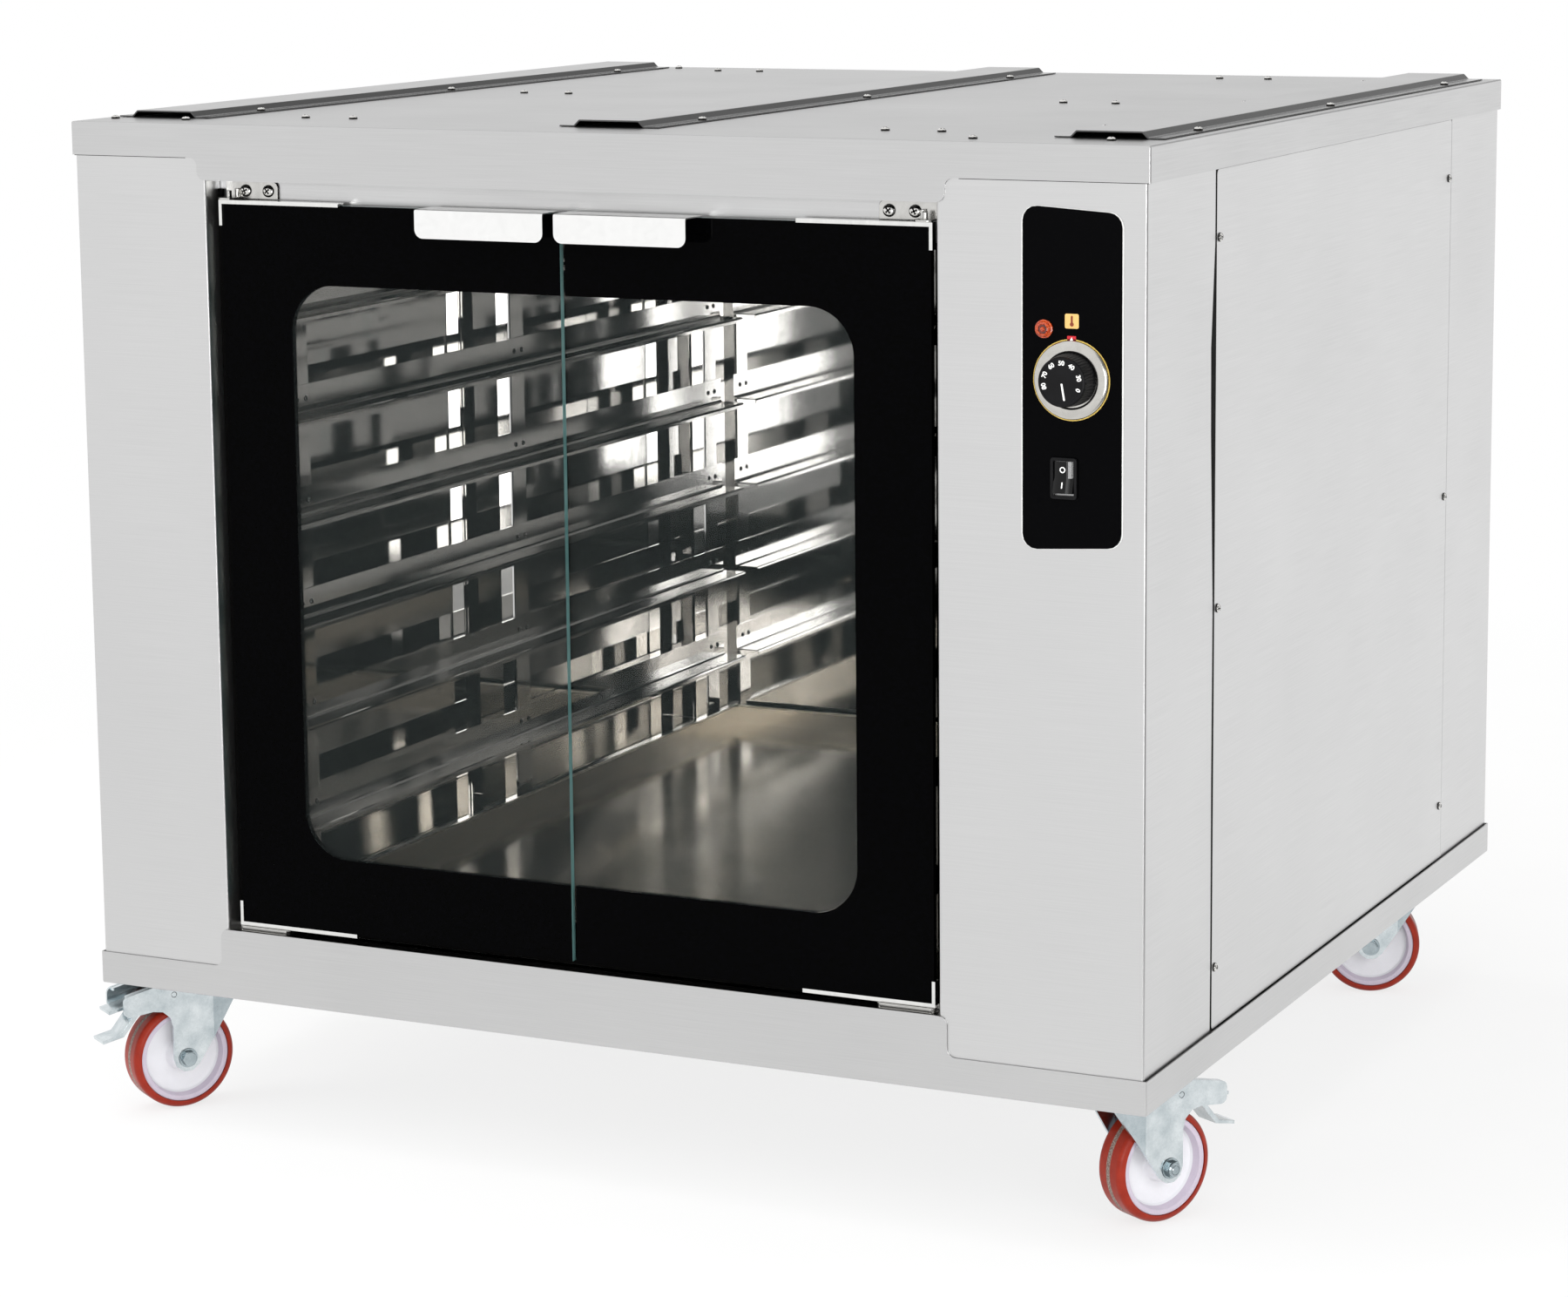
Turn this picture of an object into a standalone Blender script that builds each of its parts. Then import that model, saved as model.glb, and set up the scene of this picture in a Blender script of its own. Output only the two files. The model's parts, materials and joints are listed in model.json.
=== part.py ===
"""Proofing cabinet on casters, with two glass doors and rails on top to carry an oven.

Units are metres, +Z is up and the doors face -Y. The finished cabinet stands on z = 0
with its origin under the middle of the whole.
"""
from math import asin, atan2, cos, degrees, pi, radians, sin, tan

import bmesh
import bpy
from mathutils import Matrix, Vector

# Body
BODY_WIDTH = 1.035
BODY_DEPTH = 1.005
BODY_HEIGHT = 0.800
BAND_HEIGHT = 0.030
SHEET = 0.0012
INNER_FOLD = 0.0008
FIT = 0.0003
SIDE_STEP = 0.0018
FLANGE = 0.022

# Doorway between the two columns, and the aprons over and under it
LEFT_COLUMN = 0.1405
RIGHT_COLUMN = 0.1865
SILL_HEIGHT = 0.065
HEADER_DROP = 0.050
APRON_LAP = 0.0075
APRON_RADIUS = 0.0075

# Right side
COLUMN_WRAP = 0.160
REAR_WRAP = 0.160
PANEL_GAP = 0.0008

# Chamber
WALL_SETBACK = 0.008
JAMB_WIDTH = 0.020
HEAD_RAIL_DROP = 0.036
CHAMBER_HEADROOM = 0.022
CHAMBER_REAR_GAP = 0.026
FLOOR_RISE = 0.007
SILL_DROP = 0.0015
PAN_RIM = 0.020
PAN_SIDE_GAP = 0.014
PAN_FRONT_GAP = 0.030
PAN_REAR_GAP = 0.012
HEATER_RADIUS = 0.004
HEATER_BEND = 0.040
HEATER_RUNS = 4
HEATER_SIDE_GAP = 0.082
HEATER_END_GAP = 0.175

# Tray racks
RACK_SETBACK = 0.029
UPRIGHT_WIDTH = 0.030
UPRIGHT_DEPTH = 0.015
UPRIGHT_FRONT_GAP = 0.076
UPRIGHT_REAR_GAP = 0.0395
UPRIGHT_MIDDLE_SHIFT = -0.013
RUNNER_LEVELS = 6
RUNNER_PITCH = 0.0945
RUNNER_LOWEST = 0.080
RUNNER_WEB = 0.026
RUNNER_LEDGE = 0.028
RUNNER_LIP = 0.005
RUNNER_FRONT_GAP = 0.018
RUNNER_REAR_GAP = 0.016
RUNNER_WELD = 0.0002

# Oven rails
RAIL_LEFT_INSET = 0.0565
RAIL_RIGHT_INSET = 0.0605
RAIL_MIDDLE_SHIFT = -0.002
RAIL_CROWN = 0.058
RAIL_RISE = 0.005
RAIL_FLANGE = 0.014
RAIL_FRONT_GAP = 0.065
RAIL_REAR_GAP = 0.027

# Doors
GLASS_THICKNESS = 0.006
GLASS_RECESS = 0.011
GLASS_SIDE_GAP = 0.0095
GLASS_MEETING_GAP = 0.0045
GLASS_TOP_GAP = 0.020
GLASS_BOTTOM_GAP = 0.0055
GLASS_ARRIS = 0.0008
DOOR_STANDOFF = 0.0105
PIVOT_INSET = 0.0065
PIN_RADIUS = 0.0025
PIN_HEAD = 0.008
SHOE_LENGTH = 0.122
SHOE_DROP = 0.0205
SHOE_CROWN = 0.002
SHOE_CHEEK = 0.0015
SHOE_LAP = 0.0012
HINGE_LENGTH = 0.054
HINGE_HEIGHT = 0.016
HINGE_PLATE = 0.002
HINGE_EAR = 0.006
HINGE_CORNER = 0.005
HANDLE_LENGTH = 0.126
HANDLE_INSET = 0.003
HANDLE_REACH = 0.025
HANDLE_DROP = 0.025
HANDLE_CLIP = 0.018
HANDLE_CORNER = 0.008

# Control fascia on the right column; each control's place is from its left edge and down from its top
FASCIA_INSET = 0.024
FASCIA_DROP = 0.0495
FASCIA_WIDTH = 0.086
FASCIA_LENGTH = 0.282
FASCIA_TAPER = 0.0055
FASCIA_CORNER = 0.012
FASCIA_THICKNESS = 0.0015
KNOB_PLACE = (0.0428, 0.1402)
LAMP_PLACE = (0.0191, 0.0993)
SWITCH_PLACE = (0.0367, 0.2215)

# Thermostat
BEZEL_RADIUS = 0.0323
BEZEL_HEIGHT = 0.004
BEZEL_FLOOR = 0.0014
BEZEL_RIM = 0.0045
BEZEL_BEVEL = 0.0012
KNOB_RADIUS = 0.0218
KNOB_HEIGHT = 0.021
KNOB_RIBS = 30
KNOB_RIB = 0.0008
KNOB_FACE = 0.003
SHAFT_RADIUS = 0.003
SHAFT_GRIP = 0.010
THERMOSTAT_WIDTH = 0.050
THERMOSTAT_DEPTH = 0.036

# Pilot lamp and switch
LAMP_RADIUS = 0.0075
LAMP_COLLAR = 0.0015
LAMP_LENS = 0.0065
LAMP_DOME = 0.0038
LAMP_BARREL = 0.0055
LAMP_DEPTH = 0.022
SWITCH_WIDTH = 0.023
SWITCH_HEIGHT = 0.034
SWITCH_FRAME = 0.0026
SWITCH_LIP = 0.0025
SWITCH_DEPTH = 0.024
ROCKER_POCKET = 0.014
ROCKER_TILT = 7.0
ROCKER_PROUD = 0.003

# Cable gland in the rear panel
GLAND_INSET = 0.0975
GLAND_HEIGHT = 0.110
GLAND_RADIUS = 0.011
GLAND_THREAD = 0.0098
GLAND_BORE = 0.0035
GLAND_NOSE = 0.008
GLAND_TAPER = 0.006
GLAND_LENGTH = 0.020
GLAND_TAIL = 0.012

# Casters
CASTER_HEAD = 0.030
CASTER_INSET_X = 0.0585
CASTER_INSET_Y = 0.0945
CASTER_TRAIL = 0.036
WHEEL_RADIUS = 0.050
TYRE_WIDTH = 0.032
TYRE_THICKNESS = 0.0065
TYRE_EDGE = 0.006
RIM_THICKNESS = 0.004
RIM_INSET = 0.001
WEB_THICKNESS = 0.009
WEB_DISH = 0.003
HUB_RADIUS = 0.0135
AXLE_RADIUS = 0.004
FORK_GAP = 0.040
FORK_SHEET = 0.0028
FORK_EYE = 0.0135
FORK_NOSE = 0.024
FORK_FILLET = 0.006
CROWN_RADIUS = 0.030
CROWN_HEIGHT = 0.012
RACE_RADIUS = 0.020
RACE_HEIGHT = 0.008
PLATE_LENGTH = 0.100
PLATE_WIDTH = 0.085
PLATE_THICKNESS = 0.003
PLATE_CORNER = 0.006
BOLT_ACROSS = 0.0075
BOLT_HEAD = 0.0055
BOLT_END = 0.002

# Brake arms and pedal: reaches are from the swivel axis, pedal lengths from its pin, slopes in degrees
ARM_REACH = 0.098
ARM_DIP = 0.005
ARM_DEPTH = 0.020
ARM_FILLET = 0.018
ARM_SLOPE = 6.0
PEDAL_PIN_REACH = 0.048
PEDAL_PIN_DIP = 0.0135
PEDAL_PIN = 0.0025
PEDAL_WIDTH = 0.024
PEDAL_SHEET = 0.003
PEDAL_RIB = 0.001
PEDAL_ROOT = 0.010
PEDAL_TREAD = 0.062
PEDAL_KNEE = 0.026
PEDAL_HEEL = 0.056
PEDAL_TOE = 0.0739
PEDAL_DROP = 0.024
PEDAL_SLOPE = 11.0
PEDAL_WINDOW = 0.010
PEDAL_WINDOW_EDGE = 0.005

# Which way each caster trails, in degrees from +X, and whether it has a brake
CASTERS = {
    "front_left": (-1, -1, 236.2, True),
    "front_right": (1, -1, 59.3, True),
    "rear_left": (-1, 1, 118.0, False),
    "rear_right": (1, 1, 199.5, False),
}

# Fineness of round shapes, and how near two points are when they count as one
ROUND_STEPS = 16
WHEEL_STEPS = 28
PIN_STEPS = 10
FOLD_STEPS = 2
CORNER_STEPS = 4
WELD = 0.00002

# Places worked out from the sizes above
CASTER_HEIGHT = 2 * WHEEL_RADIUS + CASTER_HEAD
BASE_Z = CASTER_HEIGHT
TOP_Z = BASE_Z + BODY_HEIGHT
FRONT_Y = -BODY_DEPTH / 2
REAR_Y = BODY_DEPTH / 2
FOLD = SHEET + INNER_FOLD
LAP = SHEET + FIT
OPENING_LEFT = LEFT_COLUMN - BODY_WIDTH / 2
OPENING_RIGHT = BODY_WIDTH / 2 - RIGHT_COLUMN
OPENING_LOW = BASE_Z + SILL_HEIGHT
OPENING_HIGH = TOP_Z - HEADER_DROP
PANEL_X = BODY_WIDTH / 2 - SHEET - SIDE_STEP
COLUMN_Y = FRONT_Y + LAP
BACK_Y = REAR_Y - LAP
PANEL_LOW = BASE_Z + LAP
PANEL_HIGH = TOP_Z - LAP
PIVOT_Y = COLUMN_Y + GLASS_RECESS + GLASS_THICKNESS / 2
HEAD_Y = PIVOT_Y + DOOR_STANDOFF
JAMB_Y = HEAD_Y + LAP
CHAMBER_LEFT = OPENING_LEFT - WALL_SETBACK
CHAMBER_RIGHT = OPENING_RIGHT + WALL_SETBACK
CHAMBER_BACK = REAR_Y - CHAMBER_REAR_GAP
CEILING_Z = TOP_Z - CHAMBER_HEADROOM
FLOOR_Z = OPENING_LOW + FLOOR_RISE
SILL_Z = OPENING_LOW - SILL_DROP
RACK_LEFT = OPENING_LEFT + RACK_SETBACK
RACK_RIGHT = OPENING_RIGHT - RACK_SETBACK
GLASS_TOP = OPENING_HIGH - GLASS_TOP_GAP
GLASS_BOTTOM = OPENING_LOW + GLASS_BOTTOM_GAP
GLASS_WIDTH = (OPENING_RIGHT - OPENING_LEFT - 2 * GLASS_SIDE_GAP - GLASS_MEETING_GAP) / 2
GLASS_HEIGHT = GLASS_TOP - GLASS_BOTTOM
FASCIA_RIGHT = BODY_WIDTH / 2 - FASCIA_INSET
FASCIA_LEFT = FASCIA_RIGHT - FASCIA_WIDTH
FASCIA_TOP = TOP_Z - FASCIA_DROP
FASCIA_Y = COLUMN_Y - FIT
CONTROL_Y = FASCIA_Y - FASCIA_THICKNESS - FIT
AXLE_Z = WHEEL_RADIUS
PLATE_LOW = BASE_Z - FIT - PLATE_THICKNESS
CROWN_TOP = PLATE_LOW - FIT
CROWN_LOW = CROWN_TOP - CROWN_HEIGHT
FORK_OUTSIDE = FORK_GAP / 2 + FORK_SHEET

# How a flat outline's (u, v) and its thickness stand in the body: seen from the front, side or top
FRONT = Matrix(((1, 0, 0, 0), (0, 0, -1, 0), (0, 1, 0, 0), (0, 0, 0, 1)))
SIDE = Matrix(((0, 0, 1, 0), (1, 0, 0, 0), (0, 1, 0, 0), (0, 0, 0, 1)))
PLAN = Matrix.Identity(4)

# Colour, roughness and metallic value of each finish
FINISHES = {
    "satin_steel": ((0.66, 0.66, 0.65), 0.36, 1.0),
    "bright_steel": ((0.72, 0.72, 0.71), 0.14, 1.0),
    "pan_steel": ((0.56, 0.52, 0.46), 0.40, 1.0),
    "zinc": ((0.68, 0.72, 0.73), 0.38, 1.0),
    "chrome": ((0.80, 0.80, 0.79), 0.08, 1.0),
    "dark_glass": ((0.012, 0.012, 0.013), 0.04, 0.0),
    "black_gloss": ((0.010, 0.010, 0.011), 0.12, 0.0),
    "black_plastic": ((0.020, 0.020, 0.021), 0.42, 0.0),
    "amber": ((0.62, 0.10, 0.02), 0.18, 0.0),
    "nylon": ((0.80, 0.80, 0.84), 0.40, 0.0),
    "red_tyre": ((0.38, 0.035, 0.015), 0.42, 0.0),
    "sheathed_rod": ((0.16, 0.15, 0.14), 0.50, 1.0),
}


def clear_scene():
    """Remove what the scene holds."""
    for item in list(bpy.data.objects):
        bpy.data.objects.remove(item, do_unlink=True)


def new_collection(name):
    """A collection linked to the scene."""
    collection = bpy.data.collections.new(name)
    bpy.context.scene.collection.children.link(collection)
    return collection


clear_scene()
PARTS = new_collection("proofing_cabinet")
TOOLS = new_collection("cutters")
ROOT = bpy.data.objects.new("cabinet_root", None)
PARTS.objects.link(ROOT)


def pivot(name, location, turn=0.0, parent=ROOT):
    """An empty on a joint's axis."""
    empty = bpy.data.objects.new(name, None)
    empty.location = location
    empty.rotation_euler = (0.0, 0.0, turn)
    empty.parent = parent
    PARTS.objects.link(empty)
    return empty


def finish_material(part_name, finish):
    """A Principled material for one part."""
    colour, roughness, metallic = FINISHES[finish]
    material = bpy.data.materials.new(f"{part_name}_{finish}")
    material.use_nodes = True
    shader = material.node_tree.nodes["Principled BSDF"]
    shader.inputs["Base Color"].default_value = (*colour, 1.0)
    shader.inputs["Roughness"].default_value = roughness
    shader.inputs["Metallic"].default_value = metallic
    return material


def add_part(name, mesh, finish, parent=ROOT, smooth=None):
    """Place a mesh as a named part; smooth is the angle in degrees above which edges stay sharp."""
    mesh.materials.clear()
    mesh.materials.append(finish_material(name, finish))
    part = bpy.data.objects.new(name, mesh)
    part.parent = parent
    PARTS.objects.link(part)
    if smooth is not None:
        mesh.shade_smooth()
        mesh.set_sharp_from_angle(angle=radians(smooth))
    return part


def shape_with(part, mesh, operation):
    """Cut a mesh out of a part, or join it to the part."""
    tool = bpy.data.objects.new(f"{part.name}_tool_{len(part.modifiers)}", mesh)
    tool.parent = part.parent
    tool.display_type = "WIRE"
    tool.hide_render = True
    TOOLS.objects.link(tool)
    boolean = part.modifiers.new(operation.lower(), "BOOLEAN")
    boolean.operation = operation
    boolean.solver = "EXACT"
    boolean.object = tool
    return part


def cut(part, mesh):
    """Cut a mesh out of a part."""
    return shape_with(part, mesh, "DIFFERENCE")


def join(part, mesh):
    """Join a mesh to a part."""
    return shape_with(part, mesh, "UNION")


def soften(part, width):
    """Take the sharp edges off a part."""
    bevel = part.modifiers.new("soft_edges", "BEVEL")
    bevel.width = width
    bevel.segments = 1
    bevel.limit_method = "ANGLE"
    return part


def arc(centre, radius, start, end, steps=CORNER_STEPS):
    """Points along an arc, with its angles in degrees."""
    turns = [radians(start + (end - start) * step / steps) for step in range(steps + 1)]
    return [(centre[0] + radius * cos(turn), centre[1] + radius * sin(turn)) for turn in turns]


def circle(centre, radius, steps=ROUND_STEPS):
    """A round outline."""
    return arc(centre, radius, 0.0, 360.0, steps)[:-1]


def bore(radius, steps=PIN_STEPS):
    """The radius of a faceted hole whose flats clear a round piece of the given radius."""
    return (radius + FIT) / cos(pi / steps)


def rectangle(low, high):
    """A square-cornered outline."""
    return [(low[0], low[1]), (high[0], low[1]), (high[0], high[1]), (low[0], high[1])]


def rounded(points, radius, closed=True, steps=CORNER_STEPS):
    """An outline with its corners rounded; radius is one size or one for each corner."""
    outline = []
    for index, point in enumerate(points):
        size = radius[index] if isinstance(radius, (list, tuple)) else radius
        is_end = not closed and index in (0, len(points) - 1)
        if is_end or size == 0:
            outline.append(tuple(point))
            continue
        corner = Vector(point)
        inward = (Vector(points[index - 1]) - corner).normalized()
        outward = (Vector(points[(index + 1) % len(points)]) - corner).normalized()
        half = inward.angle(outward) / 2
        centre = corner + (inward + outward).normalized() * size / sin(half)
        first = corner + inward * size / tan(half) - centre
        last = corner + outward * size / tan(half) - centre
        start = atan2(first.y, first.x)
        sweep = (atan2(last.y, last.x) - start + pi) % (2 * pi) - pi
        outline += arc(centre, size, degrees(start), degrees(start + sweep), steps)
    return outline


def touch_angle(point, centre, radius):
    """Where a line from a point touches a circle on its right-hand side, in degrees round the circle."""
    away = Vector(centre) - Vector(point)
    heading = atan2(away.y, away.x) - asin(radius / away.length)
    return degrees(heading) - 90.0


def finish_mesh(editing, name):
    """Turn faces outwards and store an edited mesh."""
    bmesh.ops.recalc_face_normals(editing, faces=editing.faces)
    mesh = bpy.data.meshes.new(name)
    editing.to_mesh(mesh)
    editing.free()
    return mesh


def box(low, high):
    """A block between two corners."""
    low, high = Vector(low), Vector(high)
    editing = bmesh.new()
    bmesh.ops.create_cube(editing, size=1.0)
    bmesh.ops.scale(editing, vec=high - low, verts=editing.verts)
    bmesh.ops.translate(editing, vec=(low + high) / 2, verts=editing.verts)
    return finish_mesh(editing, "block")


def rod(radius, start, end, steps=ROUND_STEPS):
    """A round bar between two points."""
    start, end = Vector(start), Vector(end)
    along = end - start
    turn = along.to_track_quat("Z", "Y").to_matrix().to_4x4()
    place = Matrix.Translation((start + end) / 2) @ turn
    editing = bmesh.new()
    bmesh.ops.create_cone(editing, cap_ends=True, segments=steps, radius1=radius, radius2=radius,
                          depth=along.length, matrix=place)
    return finish_mesh(editing, "bar")


def mesh_of(curve, place=PLAN):
    """The closed mesh of a curve."""
    holder = bpy.data.objects.new("outline", curve)
    TOOLS.objects.link(holder)
    ready = holder.evaluated_get(bpy.context.evaluated_depsgraph_get())
    editing = bmesh.new()
    editing.from_mesh(bpy.data.meshes.new_from_object(ready))
    bpy.data.objects.remove(holder, do_unlink=True)
    bmesh.ops.remove_doubles(editing, verts=editing.verts, dist=WELD)
    bmesh.ops.transform(editing, matrix=place, verts=editing.verts)
    return finish_mesh(editing, "outline")


def plate(outlines, thickness, view, at=(0.0, 0.0, 0.0)):
    """A flat plate from an outline, and from the outlines of its holes; at is its middle plane's place."""
    curve = bpy.data.curves.new("outline", "CURVE")
    curve.dimensions = "2D"
    curve.fill_mode = "BOTH"
    curve.extrude = thickness / 2
    for outline in outlines:
        spline = curve.splines.new("POLY")
        spline.points.add(len(outline) - 1)
        for point, (across, up) in zip(spline.points, outline):
            point.co = (across, up, 0.0, 1.0)
        spline.use_cyclic_u = True
    return mesh_of(curve, Matrix.Translation(at) @ view)


def turned(name, profile, finish, parent, place=PLAN, steps=ROUND_STEPS):
    """A turned part; the profile holds (radius, height) and runs down the outer side."""
    editing = bmesh.new()
    points = [editing.verts.new((radius, 0.0, height)) for radius, height in profile]
    for index, point in enumerate(points):
        following = (index + 1) % len(points)
        on_axis = profile[index][0] == 0 and profile[following][0] == 0
        if not on_axis:
            editing.edges.new((point, points[following]))
    mesh = bpy.data.meshes.new(name)
    editing.to_mesh(mesh)
    editing.free()
    part = add_part(name, mesh, finish, parent)
    part.matrix_local = place
    screw = part.modifiers.new("turn", "SCREW")
    screw.steps = steps
    screw.render_steps = steps
    screw.use_merge_vertices = True
    screw.merge_threshold = WELD
    screw.use_smooth_shade = True
    return part


def thicken(editing, thickness, offset):
    """A closed shell from an open surface."""
    mesh = bpy.data.meshes.new("surface")
    editing.to_mesh(mesh)
    editing.free()
    holder = bpy.data.objects.new("surface", mesh)
    TOOLS.objects.link(holder)
    solidify = holder.modifiers.new("thickness", "SOLIDIFY")
    solidify.thickness = thickness
    solidify.offset = offset
    solidify.use_even_offset = True
    ready = holder.evaluated_get(bpy.context.evaluated_depsgraph_get())
    editing = bmesh.new()
    editing.from_mesh(bpy.data.meshes.new_from_object(ready))
    bpy.data.objects.remove(holder, do_unlink=True)
    return finish_mesh(editing, "sheet")


def bent_sheet(section, along, start, end):
    """Sheet folded to a section and running along an axis; its metal lies to the section's left."""
    line = rounded(section, FOLD, closed=False, steps=FOLD_STEPS)
    place = {"X": lambda u, v, run: (run, u, v), "Y": lambda u, v, run: (u, run, v),
             "Z": lambda u, v, run: (u, v, run)}[along]
    editing = bmesh.new()
    rows = [[editing.verts.new(place(u, v, run)) for u, v in line] for run in (start, end)]
    for index in range(len(line) - 1):
        editing.faces.new((rows[0][index], rows[0][index + 1], rows[1][index + 1], rows[1][index]))
    return thicken(editing, SHEET, 1.0 if along == "Y" else -1.0)


def apron_edge(edge, apron):
    """The free edge of a folded pan's front, from right to left, with the apron's curved steps."""
    left = OPENING_LEFT - APRON_LAP
    right = OPENING_RIGHT + APRON_LAP
    half = BODY_WIDTH / 2
    corners = [(half, edge), (right, edge), (right, apron), (left, apron), (left, edge), (-half, edge)]
    return rounded(corners, APRON_RADIUS, closed=False)


def folded_pan(flat_z, edge_z, apron_z):
    """A pan folded from sheet: flat at one height, walls to the edge, and the front to the apron."""
    half = BODY_WIDTH / 2
    editing = bmesh.new()
    front = [editing.verts.new((x, FRONT_Y, z)) for x, z in apron_edge(edge_z, apron_z)]
    flat = [editing.verts.new((x, y, flat_z)) for x, y in
            ((half, FRONT_Y), (-half, FRONT_Y), (-half, REAR_Y), (half, REAR_Y))]
    rear = [editing.verts.new((x, REAR_Y, edge_z)) for x in (-half, half)]
    bottom = editing.faces.new(flat)
    editing.faces.new([flat[0]] + front + [flat[1]])
    editing.faces.new((flat[1], front[-1], rear[0], flat[2]))
    editing.faces.new((flat[2], rear[0], rear[1], flat[3]))
    editing.faces.new((flat[3], rear[1], front[0], flat[0]))
    bmesh.ops.recalc_face_normals(editing, faces=editing.faces)
    if bottom.normal.z * (flat_z - edge_z) < 0:
        bmesh.ops.reverse_faces(editing, faces=editing.faces)
    return thicken(editing, SHEET, -1.0)


def open_pan(low, high):
    """A shallow pan with an open top."""
    editing = bmesh.new()
    editing.from_mesh(box(low, high))
    top = max(editing.faces, key=lambda face: face.calc_center_median().z)
    bmesh.ops.delete(editing, geom=[top], context="FACES_ONLY")
    return thicken(editing, SHEET, -1.0)


def on_fascia(place):
    """A control's place as (x, z)."""
    return FASCIA_LEFT + place[0], FASCIA_TOP - place[1]


def switch_window():
    """The cut-out for the switch body."""
    x, z = on_fascia(SWITCH_PLACE)
    across = (SWITCH_WIDTH - SWITCH_FRAME) / 2 + FIT
    up = (SWITCH_HEIGHT - SWITCH_FRAME) / 2 + FIT
    return rectangle((x - across, z - up), (x + across, z + up))


def control_holes():
    """The outlines that pass the shaft, the lamp's barrel and the switch body."""
    shaft = circle(on_fascia(KNOB_PLACE), SHAFT_RADIUS + FIT)
    lamp = circle(on_fascia(LAMP_PLACE), LAMP_BARREL + FIT)
    return [shaft, lamp, switch_window()]


def build_shell():
    """Top cover, base tray and the outer panels."""
    add_part("base_tray", folded_pan(BASE_Z, BASE_Z + BAND_HEIGHT, OPENING_LOW), "satin_steel")
    add_part("top_cover", folded_pan(TOP_Z, TOP_Z - BAND_HEIGHT, OPENING_HIGH), "satin_steel")

    jamb = HEAD_Y - 2 * FIT
    rear_flange = BACK_Y - LAP
    left = [(-PANEL_X + FLANGE, rear_flange), (-PANEL_X, rear_flange), (-PANEL_X, COLUMN_Y),
            (OPENING_LEFT, COLUMN_Y), (OPENING_LEFT, jamb)]
    add_part("left_side_panel", bent_sheet(left, "Z", PANEL_LOW, PANEL_HIGH), "satin_steel")

    wrap = COLUMN_Y + COLUMN_WRAP
    joggle = wrap + FOLD
    column = [(OPENING_RIGHT, jamb), (OPENING_RIGHT, COLUMN_Y), (PANEL_X, COLUMN_Y), (PANEL_X, wrap),
              (PANEL_X - LAP, joggle), (PANEL_X - LAP, joggle + FLANGE)]
    control_column = add_part("control_column", bent_sheet(column, "Z", PANEL_LOW, PANEL_HIGH), "satin_steel")
    cut(control_column, plate(control_holes(), 4 * SHEET, FRONT, (0, COLUMN_Y, 0)))

    strip = BACK_Y - REAR_WRAP
    rear_joggle = strip - FOLD
    rear = [(PANEL_X - LAP, rear_joggle - FLANGE), (PANEL_X - LAP, rear_joggle), (PANEL_X, strip),
            (PANEL_X, BACK_Y), (-PANEL_X, BACK_Y)]
    rear_panel = add_part("rear_panel", bent_sheet(rear, "Z", PANEL_LOW, PANEL_HIGH), "satin_steel")
    gland = (BODY_WIDTH / 2 - GLAND_INSET, BASE_Z + GLAND_HEIGHT)
    cut(rear_panel, plate([circle(gland, GLAND_THREAD + FIT)], 4 * SHEET, FRONT, (0, BACK_Y, 0)))
    build_gland(gland)

    low = (PANEL_X - SHEET, joggle + PANEL_GAP, BASE_Z + BAND_HEIGHT + PANEL_GAP)
    high = (PANEL_X, rear_joggle - PANEL_GAP, TOP_Z - BAND_HEIGHT - PANEL_GAP)
    add_part("right_access_panel", box(low, high), "satin_steel")


def build_gland(place):
    """The cable gland: a domed body outside the rear panel and its thread through it."""
    shoulder = (GLAND_RADIUS, GLAND_LENGTH - GLAND_TAPER)
    nose = [(GLAND_BORE, GLAND_LENGTH), (GLAND_NOSE, GLAND_LENGTH), shoulder]
    tail = [(GLAND_THREAD, FIT), (GLAND_THREAD, -GLAND_TAIL), (GLAND_BORE, -GLAND_TAIL)]
    profile = nose + [(GLAND_RADIUS, FIT)] + tail
    out = Matrix.Translation((place[0], BACK_Y, place[1])) @ Matrix.Rotation(-pi / 2, 4, "X")
    turned("cable_gland", profile, "black_plastic", ROOT, out)


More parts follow.
